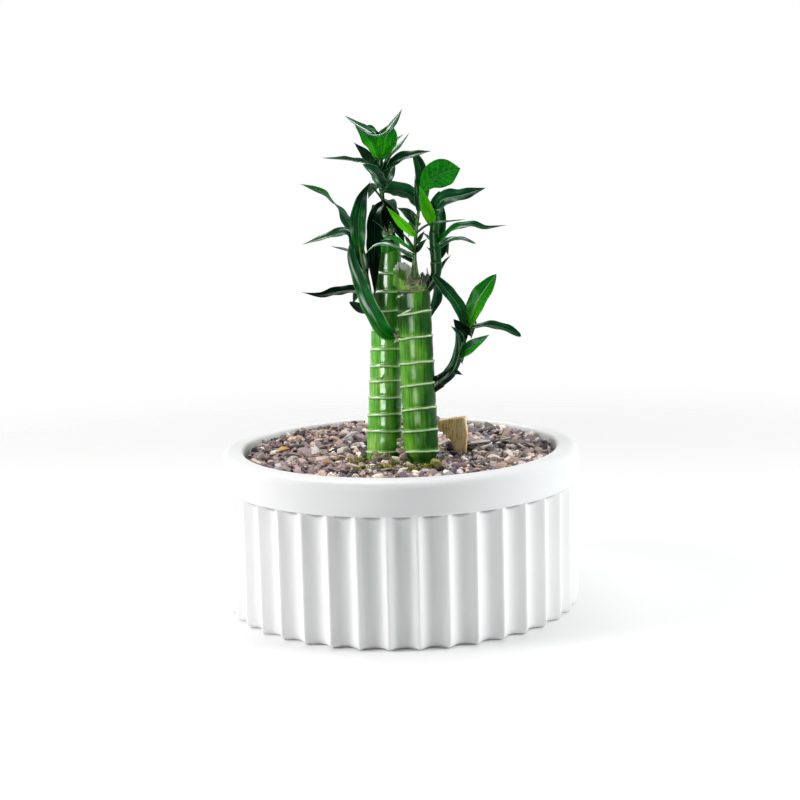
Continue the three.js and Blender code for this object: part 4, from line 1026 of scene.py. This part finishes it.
def is_free(x, y, margin):
    """Whether a stone of that half width is clear of the canes, the chip and the wall."""
    if math.hypot(x, y) > GRAVEL_RADIUS - margin:
        return False
    if any(math.hypot(x - a, y - b) < radius + margin for a, b, radius in STANDING):
        return False
    left, right, front, back = CHIP_STAND
    return not (left - margin < x < right + margin and front - margin < y < back + margin)


def make_bed():
    """Dark bumpy bed under the loose stones."""
    numbers = np.random.default_rng(4)
    turn = around(BED_COLUMNS)
    rings = [ring(turn, radius, SOIL_TOP + above) for radius, above in ((0.4, 0.4), (76.4, 0.4), (77.6, 1))]
    for radius in np.linspace(GRAVEL_RADIUS, 0.4, 70):
        level = gravel_level(radius * np.cos(turn), radius * np.sin(turn)) - BED_DEPTH
        bumps = numbers.normal(0, 0.45, turn.shape) * min(radius / 20, 1)
        rings.append(ring(turn, radius, level + bumps))
    bed = Shape()
    bed.loft(rings, stone=(0.05, 0.25, 0))
    return bed


def ball(subdivisions):
    """Points and faces of a ball of radius 1."""
    mesh = bmesh.new()
    bmesh.ops.create_icosphere(mesh, subdivisions=subdivisions, radius=1)
    points = np.array([vertex.co[:] for vertex in mesh.verts])
    faces = [[vertex.index for vertex in face.verts] for face in mesh.faces]
    mesh.free()
    return points, faces


BALLS = {level: ball(level) for level in (1, 2, 3)}
STONE_CUTS = 9
STONE_ROUGHNESS = 0.04


def stone(shape, numbers, place, size, flatness, level, marks):
    """One broken stone: a ball cut by planes, stretched and turned."""
    points, faces = BALLS[level]
    points = points.copy()
    for normal in unit(numbers.normal(size=(STONE_CUTS, 3))):
        over = points @ normal - numbers.uniform(0.42, 0.85)
        points -= np.clip(over, 0, None)[:, None] * normal
    points *= 1 + STONE_ROUGHNESS * numbers.normal(size=(len(points), 1))
    long, wide, thick = numbers.uniform(1.2, 1.55), numbers.uniform(0.7, 1.0), numbers.uniform(0.8, 1.1)
    stretch = size / 2 * np.array([long, wide, flatness * thick])
    tilt = numbers.normal(0, 0.4, 2)
    turn = Matrix.Rotation(tilt[0], 3, "X") @ Matrix.Rotation(tilt[1], 3, "Y")
    turn = turn @ Matrix.Rotation(numbers.uniform(0, 2 * math.pi), 3, "Z")
    points = (points * stretch) @ np.array(turn).T
    shape.add(points + place, faces, stone=marks)


MOSS_PATCHES = [(-18, -35, 5), (-20, -14, 4), (-8, -33, 4), (4, -36, 5), (14, -33, 4), (-3, -24, 3)]


def moss_share(x, y):
    """How mossy a place is, from 0 to 1."""
    return max(math.exp(-((x - a) ** 2 + (y - b) ** 2) / radius ** 2) for a, b, radius in MOSS_PATCHES)


def stone_marks(numbers, x, y):
    """A stone's own colour, lightness and moss, by where it lies."""
    colour = numbers.random()
    if x < -15 and colour > 0.45 and numbers.random() < 0.35:
        colour *= 0.45
    if x > 25 and y > 0 and numbers.random() < 0.4:
        colour = numbers.uniform(0.62, 0.8)
    moss = 1.0 if numbers.random() < 0.55 * moss_share(x, y) else 0.0
    return colour, numbers.uniform(0.5, 1.75), moss


def place_within(numbers, limit):
    """A random place within that radius."""
    radius, angle = limit * math.sqrt(numbers.random()), numbers.uniform(0, 2 * math.pi)
    return radius * math.cos(angle), radius * math.sin(angle)


def scatter(shape, numbers, count, sizes, spacing, level, lift, flatness):
    """Stones at random, none nearer to another of its kind than the spacing's share of its size."""
    grid = collections.defaultdict(list)
    for _ in range(count):
        size = numbers.uniform(*sizes)
        x, y = place_within(numbers, GRAVEL_RADIUS)
        if not is_free(x, y, 0.45 * size):
            continue
        cell = (int(x // sizes[1]), int(y // sizes[1]))
        near = [other for a in (-1, 0, 1) for b in (-1, 0, 1) for other in grid[(cell[0] + a, cell[1] + b)]]
        if any(math.hypot(x - a, y - b) < spacing * (size + other) / 2 for a, b, other in near):
            continue
        grid[cell].append((x, y, size))
        height = gravel_level(x, y) + lift * size + numbers.uniform(-0.5, 0.5)
        marks = stone_marks(numbers, x, y)
        stone(shape, numbers, (x, y, height), size, flatness, level, marks)


# Stones that the photograph shows clearly: place, size, flatness, colour and lightness.
NAMED_STONES = [
    (-72, 1, 5.5, 0.7, 0.55, 1.15), (-48, 1, 8, 0.5, 0.55, 1.3), (-71, -9, 7, 0.5, 0.85, 1.2),
    (-37, -19, 6.5, 0.6, 0.55, 1.2), (-28, -30, 7, 0.6, 0.55, 1.15), (-22, -34, 7, 0.6, 0.3, 1.2),
    (42, 17, 13, 0.28, 0.8, 1.2), (36, 20, 8, 0.3, 0.7, 1.1), (46, -13, 6.5, 0.7, 0.55, 1.2),
    (64, -9, 6, 0.7, 0.55, 1.2), (73, 2, 6, 0.7, 0.3, 1.25), (54, -10, 6, 0.7, 0.92, 1.1),
    (60, 14, 7, 0.7, 0.55, 1.0), (-1, 30, 7, 0.7, 0.3, 1.2), (3, 13, 6, 0.8, 0.3, 1.2),
    (-60, -24, 5, 0.6, 0.85, 1.3), (-26, 40, 9, 0.5, 0.85, 1.05), (-20, 36, 7, 0.6, 0.55, 1.1),
    (-61, 13, 6.5, 0.7, 0.99, 1.25), (-54, -1, 8, 0.4, 0.55, 1.3), (-38, -10, 9, 0.45, 0.3, 1.5),
    (-28, -33, 8, 0.6, 0.3, 1.6), (-16, -40, 5, 0.6, 0.9, 1.1), (1.5, -40, 6.5, 0.6, 0.9, 1.1),
    (25.5, 16, 8, 0.7, 0.05, 0.8), (27, 1, 6, 0.7, 0.05, 0.9), (37, 23, 9, 0.4, 0.7, 1.1),
    (47, -16, 6, 0.6, 0.9, 1.1), (63, 0, 6.5, 0.7, 0.55, 1.3), (70, -9, 7, 0.6, 0.55, 1.3),
    (44, 8, 10, 0.35, 0.8, 1.2), (38, 44, 12, 0.4, 0.7, 0.9), (56, 30, 9, 0.5, 0.3, 1.0),
]
# Small stones heaped between the canes' feet: place, size and colour.
HEAPED_STONES = [(1.6, -17.5, 77, 4.6, 0.55), (0.2, -15.5, 79.6, 4.2, 0.3), (0.6, -14.6, 82.6, 3.6, 0.9),
                 (-2, -18.5, 76.5, 4, 0.9), (0.4, -13.6, 85, 2.8, 0.3)]
MOSSY_LUMP = (17.5, -33, 76)


def make_gravel():
    """The loose stones in three sizes, and those that the photograph shows one by one."""
    numbers = np.random.default_rng(12)
    grit, pebbles, stones = Shape(), Shape(), Shape()
    scatter(grit, numbers, 5200, (1.3, 2.6), 0.5, 1, -0.35, 0.75)
    scatter(pebbles, numbers, 5200, (2.8, 4.4), 0.72, 2, -0.1, 0.72)
    scatter(stones, numbers, 560, (4.6, 7.2), 0.95, 3, 0.0, 0.62)
    for x, y, size, flatness, colour, light in NAMED_STONES:
        height = gravel_level(x, y) + 0.12 * size
        stone(stones, numbers, (x, y, height), size, flatness, 3, (colour, light, 0))
    for x, y, z, size, colour in HEAPED_STONES:
        stone(stones, numbers, (x, y, z), size, 0.8, 3, (colour, 1.2, 0))
    stone(stones, numbers, MOSSY_LUMP, 6, 1.1, 3, (0.55, 1.1, 1))
    return grit, pebbles, stones


def make_stone_paint():
    """Mixed gravel: each stone has a colour of its own, with grains, dust and moss."""
    paint = Paint("gravel", Specular_IOR_Level=0.35)
    kind, light, moss = paint.attribute("stone")
    palette = paint.ramp(kind, [
        (0.0, (0.05, 0.034, 0.045)), (0.12, (0.17, 0.12, 0.14)), (0.26, (0.46, 0.33, 0.29)),
        (0.45, (0.30, 0.22, 0.22)), (0.55, (0.66, 0.53, 0.44)), (0.68, (0.24, 0.22, 0.24)),
        (0.78, (0.50, 0.46, 0.46)), (0.88, (0.80, 0.71, 0.63)), (0.988, (0.5, 0.27, 0.06)),
    ], "CONSTANT")
    cloud = paint.noise(420, 3)
    grain = paint.noise(2200, 2)
    shade = paint.times(light, paint.times(paint.span(cloud, 0.55, 1.45), paint.span(grain, 0.6, 1.4)))
    grey = paint.node("CombineColor", {0: shade, 1: shade, 2: shade}).outputs[0]
    tinted = paint.mix(1.0, palette, grey, "MULTIPLY")
    green = paint.ramp(paint.noise(900, 2), [(0.35, (0.05, 0.09, 0.008)), (0.55, (0.3, 0.34, 0.03)),
                                             (0.7, (0.6, 0.58, 0.16))])
    paint.colour(paint.mix(paint.times(moss, 0.85), tinted, green))
    paint.rough(paint.span(cloud, 0.6, 0.95))
    paint.bump(paint.add(cloud, paint.times(grain, 0.5)), 0.0004)
    return paint


STONE_PAINT = make_stone_paint()
make_bed().piece("gravel_bed", STONE_PAINT, "gravel", ["gravel"])
for label, made in zip(("gravel_grit", "gravel_pebbles", "gravel_stones"), make_gravel()):
    made.piece(label, STONE_PAINT, "gravel", ["gravel"], sharp=38)


def lying(numbers, x, y, length, bend, lift):
    """Points of something thin that lies on the gravel."""
    heading = numbers.uniform(0, 2 * math.pi)
    ahead = np.array([math.cos(heading), math.sin(heading)])
    beside = np.array([-ahead[1], ahead[0]])
    points = []
    for share in np.linspace(-0.5, 0.5, 5):
        spot = np.array([x, y]) + ahead * length * share + beside * bend * length * (share ** 2 - 0.1)
        height = gravel_level(spot[0], spot[1]) + lift + numbers.uniform(-0.3, 0.6)
        points.append((spot[0], spot[1], height))
    return points


STRAW_COUNT = 46
STRAW_LIMIT = 72
ROOT_LOOPS = 7
MOSS_TUFTS = 520


def make_straws():
    """Dry rootlets and bits of straw on the gravel."""
    numbers = np.random.default_rng(31)
    straws = Shape()
    count = 0
    while count < STRAW_COUNT:
        x, y = place_within(numbers, STRAW_LIMIT)
        length = numbers.uniform(4, 13)
        if not is_free(x, y, length / 2 + 1):
            continue
        points = lying(numbers, x, y, length, numbers.uniform(-0.8, 0.8), 1.9)
        thick = numbers.uniform(0.16, 0.42)
        tube(straws, points, [thick, thick * 0.9, thick * 0.4])
        count += 1
    for k in range(ROOT_LOOPS):
        start, sweep = numbers.uniform(-2.9, -1.6), numbers.uniform(0.4, 0.9)
        points = []
        for share in np.linspace(0, 1, 6):
            reach = STANDING[0][2] + 0.6 + 1.6 * math.sin(math.pi * share)
            angle = start + sweep * share
            x, y = STANDING[0][0] + reach * math.cos(angle), STANDING[0][1] + reach * math.sin(angle)
            points.append((x, y, gravel_level(x, y) - 0.5 + (2.4 + 0.5 * k) * math.sin(math.pi * share)))
        tube(straws, points, [0.45, 0.4, 0.3], sides=7)
    return straws


def make_moss():
    """Tufts of moss at the feet of the canes."""
    numbers = np.random.default_rng(8)
    moss = Shape()
    for _ in range(MOSS_TUFTS):
        a, b, radius = MOSS_PATCHES[numbers.integers(len(MOSS_PATCHES))]
        x, y = numbers.normal((a, b), radius * 0.45)
        if not is_free(x, y, -0.4):
            continue
        height = gravel_level(x, y) + numbers.uniform(-0.6, 1.4)
        lean = numbers.normal(0, 0.9, 2)
        length = numbers.uniform(1.0, 2.6)
        start = np.array([x, y, height])
        middle = start + np.array([lean[0] * 0.35, lean[1] * 0.35, 0.7]) * length * 0.5
        end = start + np.array([lean[0], lean[1], numbers.uniform(0.3, 1.0)]) * length * 0.9
        tube(moss, [start, middle, end], [0.2, 0.26, 0.06], sides=5, rows=4)
    return moss


def make_dry_paint(name, stops, scale):
    """Something dry and rough, whose noise of that scale runs through the stops of colour."""
    paint = Paint(name, Specular_IOR_Level=0.3)
    cloud = paint.noise(scale, 3)
    paint.colour(paint.ramp(cloud, stops))
    paint.rough(paint.span(cloud, 0.6, 0.9))
    paint.bump(cloud, 0.0002)
    return paint


STRAW_PAINT = make_dry_paint("straw", [(0.35, (0.34, 0.22, 0.15)), (0.6, (0.74, 0.62, 0.5))], 300)
MOSS_PAINT = make_dry_paint("moss", [
    (0.36, (0.025, 0.035, 0.004)), (0.5, (0.14, 0.17, 0.015)), (0.64, (0.62, 0.56, 0.1))], 420)
make_straws().piece("gravel_straws", STRAW_PAINT, "dry_sheath", ["gravel"])
make_moss().piece("gravel_moss", MOSS_PAINT, "leaf", ["gravel"])


# Wood chip

def applied(piece):
    """The piece's mesh with its modifiers applied."""
    bpy.context.view_layer.update()
    seen = piece.evaluated_get(bpy.context.evaluated_depsgraph_get())
    mesh = bpy.data.meshes.new_from_object(seen)
    piece.modifiers.clear()
    piece.data = mesh
    return mesh


def make_chip(paint):
    """Split chip: the CAD outline as a solid of fine cells, with torn fibres along its grain."""
    outline = np.array(CHIP_OUTLINE, float)
    middle = outline.mean(axis=0)
    arms = outline - middle
    half = CHIP_THICKNESS / 2
    rings = [np.stack([arms[:, 0], np.full(len(arms), y), arms[:, 1]], axis=-1) for y in (-half, half)]
    block = Shape()
    block.loft(rings)
    piece = block.piece("wood_chip_split", paint, "wood_chip", ["wood_chip"])
    cells = piece.modifiers.new("cells", "REMESH")
    cells.mode = "VOXEL"
    cells.voxel_size = CHIP_CELL * MM
    mesh = applied(piece)
    points = np.array([vertex.co[:] for vertex in mesh.vertices]) / MM
    normals = np.array([vertex.normal[:] for vertex in mesh.vertices])
    fibre = grain_field(points[:, 0] * 1.7, 3) * 0.2 + grain_field(points[:, 1] * 2.3, 5) * 0.2
    torn = np.clip(np.abs(points[:, 2]) - 6, 0, 4) / 4
    points += normals * (0.35 * fibre * (0.4 + torn))[:, None]
    points[:, 2] += fibre * torn * 1.1
    spin = Matrix.Rotation(CHIP_TURN, 3, "Z")
    points = points @ np.array(spin).T + (middle[0], CHIP_FRONT + half, middle[1])
    mesh.vertices.foreach_set("co", (points * MM).ravel())
    mesh.shade_smooth()
    mesh.set_sharp_from_angle(angle=math.radians(40))


def grain_field(values, seed):
    """Sum of a few sines with seeded phases, from about -1 to 1."""
    numbers = np.random.default_rng(seed)
    return sum(np.sin(values * rate + numbers.uniform(0, PHASE_RANGE)) * weight
               for rate, weight in ((1.0, 0.5), (2.3, 0.35), (4.9, 0.25), (7.7, 0.15)))


def make_chip_paint():
    """Chip: pale wood with orange and brown along its grain."""
    paint = Paint("chip", Specular_IOR_Level=0.35)
    grain = paint.noise(1100, 4, (1, 1, 0.2), 0.65)
    cloud = paint.noise(140, 2)
    paint.colour(paint.ramp(paint.add(paint.times(grain, 0.7), paint.times(cloud, 0.3)), [
        (0.34, (0.5, 0.28, 0.1)), (0.46, (0.96, 0.62, 0.27)), (0.62, (1.0, 0.84, 0.5))]))
    paint.rough(paint.span(grain, 0.6, 0.85))
    paint.bump(grain, 0.0005)
    return paint


make_chip(make_chip_paint())


# Dry sheath on the cut cane

SHEATH_RADIUS = 7.3
SHEATH_THICKNESS = 0.24
SHEATH_LIMITS = (5.5, 8.4)
FLAP_REACH = 2.4
FLAP_TURN = 3.2
FLAP_SPREAD = 0.5
SHEATH_HEIGHTS = [6, 4, 3, 5, 6, 7, 9, 12, 13, 12, 13, 11, 9, 7, 6, 5, 4, 3, 2, 3, 6, 9, 7, 8]


def make_sheath():
    """Papery sheath with a jagged edge, in an irregular ring on the cut cane's top."""
    numbers = np.random.default_rng(17)
    columns, rows = 192, 16
    turn = around(columns)
    given = np.append(SHEATH_HEIGHTS, SHEATH_HEIGHTS[0])
    heights = np.interp(turn, np.linspace(0, 2 * np.pi, len(given)), given)
    jag = np.repeat(numbers.uniform(-1.4, 0.6, columns // 3), 3) * np.tile([1.0, 0.2, 0.7], columns // 3)
    heights = np.clip(heights + jag, 1.2, 13)
    centre = np.array(CUT_CANE["high"], float)
    pleats = 0.22 * np.sin(23 * turn) + 0.18 * np.sin(37 * turn + 1)
    flap = FLAP_REACH * hump(turn - FLAP_TURN, FLAP_SPREAD)
    shares = np.linspace(0, 1, rows + 1)
    rings = []
    for side, order in ((1, shares), (-1, shares[::-1])):
        for share in order:
            lean = 0.9 * share ** 2 * np.sin(3 * turn + 1) + pleats * (0.4 + share)
            radius = np.clip(SHEATH_RADIUS + lean + side * SHEATH_THICKNESS / 2, *SHEATH_LIMITS)
            radius = radius + flap * min(4 * share, 1)
            rings.append(centre + ring(turn, radius, 0.1 + heights * share))
    places = np.array(rings) - centre
    marks = np.stack([places[..., 0], places[..., 2], np.zeros(places.shape[:2])], axis=-1)
    sheath = Shape()
    sheath.loft(rings, closed=False, sheath_at=marks)
    last = (len(rings) - 1) * columns
    sheath.faces += [[last + j, last + (j + 1) % columns, (j + 1) % columns, j] for j in range(columns)]
    return sheath


def make_fibres():
    """A nest of tan fibres that hang in loops round the middle shoot's root, and a loose net."""
    numbers = np.random.default_rng(23)
    curls, net = Shape(), Shape()
    centre = np.array(CUT_CANE["high"], float)
    for _ in range(13):
        middle = numbers.uniform(-1.6, 1.4)
        reach = numbers.uniform(2.2, 4.6)
        height = numbers.uniform(3.2, 7.0)
        depth = numbers.uniform(-8.9, -7.4)
        start, sweep = numbers.uniform(2.4, 3.9), numbers.uniform(2.0, 4.2)
        points = []
        for share in np.linspace(0, 1, 9):
            angle = start + sweep * share
            droop = 0.9 * math.sin(angle)
            points.append(centre + (middle + reach * math.cos(angle), depth + 0.5 * math.cos(2 * angle),
                                    height + reach * droop))
        tube(curls, points, [0.13, 0.12, 0.06])
    for _ in range(28):
        angle = numbers.uniform(-1.0, 0.9) if numbers.random() < 0.6 else numbers.uniform(-3.1, 3.1)
        lean = numbers.uniform(-0.7, 0.7)
        radius = numbers.uniform(7.4, 8.4)
        tall = numbers.uniform(5, 10)
        points = []
        for share in np.linspace(0, 1, 5):
            turn = angle + lean * share
            reach = radius + 0.4 * math.sin(5 * share + angle)
            points.append(centre + (reach * math.cos(turn), reach * math.sin(turn), 0.2 + tall * share))
        tube(net, points, [0.16, 0.14, 0.06], sides=5)
    return curls, net


def make_bracts(root, count, seed):
    """Pale papery bracts where a shoot leaves its cane."""
    numbers = np.random.default_rng(seed)
    bracts = Shape()
    root = np.array(root, float)
    for _ in range(count):
        way = unit([numbers.uniform(-0.9, 0.9), numbers.uniform(-0.8, -0.3), numbers.uniform(-0.8, 1.2)])
        length = numbers.uniform(2.2, 4.2)
        start = root + numbers.uniform(-1.2, 1.2, 3)
        bend = np.array([0, -0.6, numbers.uniform(-0.8, 0.8)])
        tube(bracts, [start, start + way * length * 0.5 + bend, start + way * length],
             [0.5, 0.75, 0.12], sides=8, rows=8, flatten=0.35)
    return bracts


def make_sheath_paint():
    """Sheath: fresh green low on the left, papery white above that, and dark to the right."""
    paint = Paint("papery", Specular_IOR_Level=0.3, Subsurface_Weight=0.5, Subsurface_Scale=0.001,
                  Subsurface_Radius=(1, 1, 1))
    right, height, _ = paint.attribute("sheath_at")
    streak = paint.noise(420, 3, (1, 1, 0.15))
    paper = paint.ramp(streak, [
        (0.32, (0.16, 0.22, 0.14)), (0.4, (0.9, 0.97, 0.84)), (0.52, (1.0, 1.0, 1.0))])
    dark = paint.ramp(streak, [
        (0.35, (0.01, 0.018, 0.014)), (0.55, (0.05, 0.07, 0.055)), (0.7, (0.3, 0.33, 0.28))])
    green = paint.ramp(streak, [(0.35, (0.04, 0.22, 0.01)), (0.6, (0.2, 0.5, 0.03))])
    ragged = paint.add(height, paint.span(streak, -2.5, 2.5))
    fresh = paint.times(paint.step(ragged, 10.0, 8.5), paint.step(right, -2.0, -4.0))
    mixed = paint.mix(paint.step(right, 1.0, 3.5), paper, dark)
    rooted = paint.math("MAXIMUM", fresh, paint.step(ragged, 2.4, 1.2))
    paint.colour(paint.mix(rooted, mixed, green))
    paint.rough(paint.span(streak, 0.6, 0.9))
    paint.bump(streak, 0.0002)
    return paint


FIBRE_PAINT = make_dry_paint("fibre", [(0.35, (0.07, 0.07, 0.02)), (0.6, (0.38, 0.38, 0.16))], 300)
NET_PAINT = make_dry_paint("net", [(0.4, (0.012, 0.03, 0.012)), (0.6, (0.18, 0.24, 0.15))], 300)
BRACT_PAINT = make_dry_paint("bract", [(0.4, (0.4, 0.3, 0.2)), (0.6, (0.75, 0.66, 0.55))], 400)
make_sheath().piece("dry_sheath_paper", make_sheath_paint(), "dry_sheath", ["dry_sheath"], sharp=50)
CURLS, NET = make_fibres()
CURLS.piece("dry_sheath_curls", FIBRE_PAINT, "dry_sheath", ["dry_sheath"])
NET.piece("dry_sheath_net", NET_PAINT, "dry_sheath", ["dry_sheath"])
make_bracts((0, -10, 135), 11, 41).piece("left_shoot_bracts", BRACT_PAINT, "dry_sheath", ["left_shoot"])
make_bracts((-2.4, 2.6, 187.6), 7, 43).piece("top_shoot_bracts", BRACT_PAINT, "dry_sheath", ["top_shoot"])


# Soil

def dress_soil():
    """Soil keeps its CAD solid and gets a dark crumbly material."""
    paint = make_dry_paint("soil", [(0.35, (0.015, 0.009, 0.006)), (0.65, (0.07, 0.045, 0.03))], 700)
    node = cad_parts["soil"]
    node.data.materials.clear()
    node.data.materials.append(paint.material)


dress_soil()


# Floor, light and camera, in metres and degrees, with the lens and sensor in millimetres

CAMERA_PLACE = (0, -0.785567, 0.231276)
CAMERA_TURN = (80.70712, 1.42152, -0.28322)
LENS = 71.0
SENSOR = 36.0
FLOOR_RADIUS = 1.6
FLOOR_CORNERS = 96
WORLD_FRONT = 0.08
WORLD_BACK = 0.55
FLOOR_FADE = (0.3, 0.75)


def make_floor():
    """Plain pale floor that fades into the pale background, so no edge of it shows."""
    mesh = bpy.data.meshes.new("floor")
    points = ring(around(FLOOR_CORNERS), FLOOR_RADIUS, 0)
    mesh.from_pydata(points.tolist(), [], [list(range(FLOOR_CORNERS))])
    paint = Paint("floor", Roughness=0.9, Base_Color=(0.86, 0.86, 0.86, 1))
    place = paint.node("TexCoord", {}).outputs["Object"]
    away = paint.node("VectorMath", {0: place}, operation="LENGTH").outputs["Value"]
    paint.feed(paint.shader.inputs["Alpha"], paint.step(away, FLOOR_FADE[1], FLOOR_FADE[0]))
    mesh.materials.append(paint.material)
    floor = bpy.data.objects.new("floor", mesh)
    scene.collection.objects.link(floor)


def make_world():
    """Pale surroundings: plain white behind, and dim on the photographer's side and below."""
    world = bpy.data.worlds.new("studio")
    world.use_nodes = True
    scene.world = world
    nodes, links = world.node_tree.nodes, world.node_tree.links
    shade = nodes["Background"]
    shade.inputs["Color"].default_value = (1, 1, 1, 1)
    place = nodes.new("ShaderNodeTexCoord")
    parts = nodes.new("ShaderNodeSeparateXYZ")
    links.new(place.outputs["Generated"], parts.inputs[0])
    spread = nodes.new("ShaderNodeMapRange")
    spread.interpolation_type = "SMOOTHSTEP"
    links.new(parts.outputs[1], spread.inputs[0])
    for socket, value in ((1, -0.8), (2, 0.5), (3, WORLD_FRONT), (4, WORLD_BACK)):
        spread.inputs[socket].default_value = value
    path = nodes.new("ShaderNodeLightPath")
    seen = nodes.new("ShaderNodeMath")
    seen.operation = "MAXIMUM"
    links.new(path.outputs["Is Camera Ray"], seen.inputs[0])
    links.new(spread.outputs[0], seen.inputs[1])
    links.new(seen.outputs[0], shade.inputs["Strength"])


def make_light(name, place, target, size, power, colour, glossy=False):
    """Box light that faces its target, and lights either the shine or all the rest."""
    light = bpy.data.lights.new(name, "AREA")
    light.shape = "RECTANGLE"
    light.size, light.size_y = size
    light.energy = power
    light.color = colour
    lamp = bpy.data.objects.new(name, light)
    lamp.location = place
    lamp.visible_glossy = glossy
    lamp.visible_diffuse = not glossy
    lamp.visible_camera = False
    aim = Vector(target) - Vector(place)
    lamp.rotation_euler = aim.to_track_quat("-Z", "Y").to_euler()
    scene.collection.objects.link(lamp)


def make_camera():
    """Camera of the photograph."""
    camera = bpy.data.cameras.new("camera")
    camera.lens = LENS
    camera.sensor_width = SENSOR
    camera.clip_start = 0.01
    viewer = bpy.data.objects.new("camera", camera)
    turn = Euler([math.radians(angle) for angle in CAMERA_TURN])
    viewer.matrix_world = Matrix.LocRotScale(Vector(CAMERA_PLACE), turn, None)
    scene.collection.objects.link(viewer)
    scene.camera = viewer


make_floor()
make_world()
make_light("left_box", (-0.94, -0.18, 0.42), (0, 0, 0.08), (0.4, 0.9), 8.6, (1, 0.99, 0.98))
make_light("right_box", (0.94, -0.18, 0.4), (0, 0, 0.08), (0.4, 0.9), 8.0, (0.97, 1, 0.985))
make_light("top_box", (-0.1, 0.1, 1.4), (0, 0, 0), (1.1, 1.1), 9.0, (1, 1, 1))
make_light("front_gloss", (-0.28, -0.73, 0.1), (0, 0, 0.13), (0.42, 0.5), 12, (1, 1, 1), True)
make_light("top_gloss", (-0.25, 0.3, 0.8), (0, 0, 0.15), (0.45, 0.45), 12, (1, 1, 1), True)
make_camera()
scene.view_settings.view_transform = "Standard"
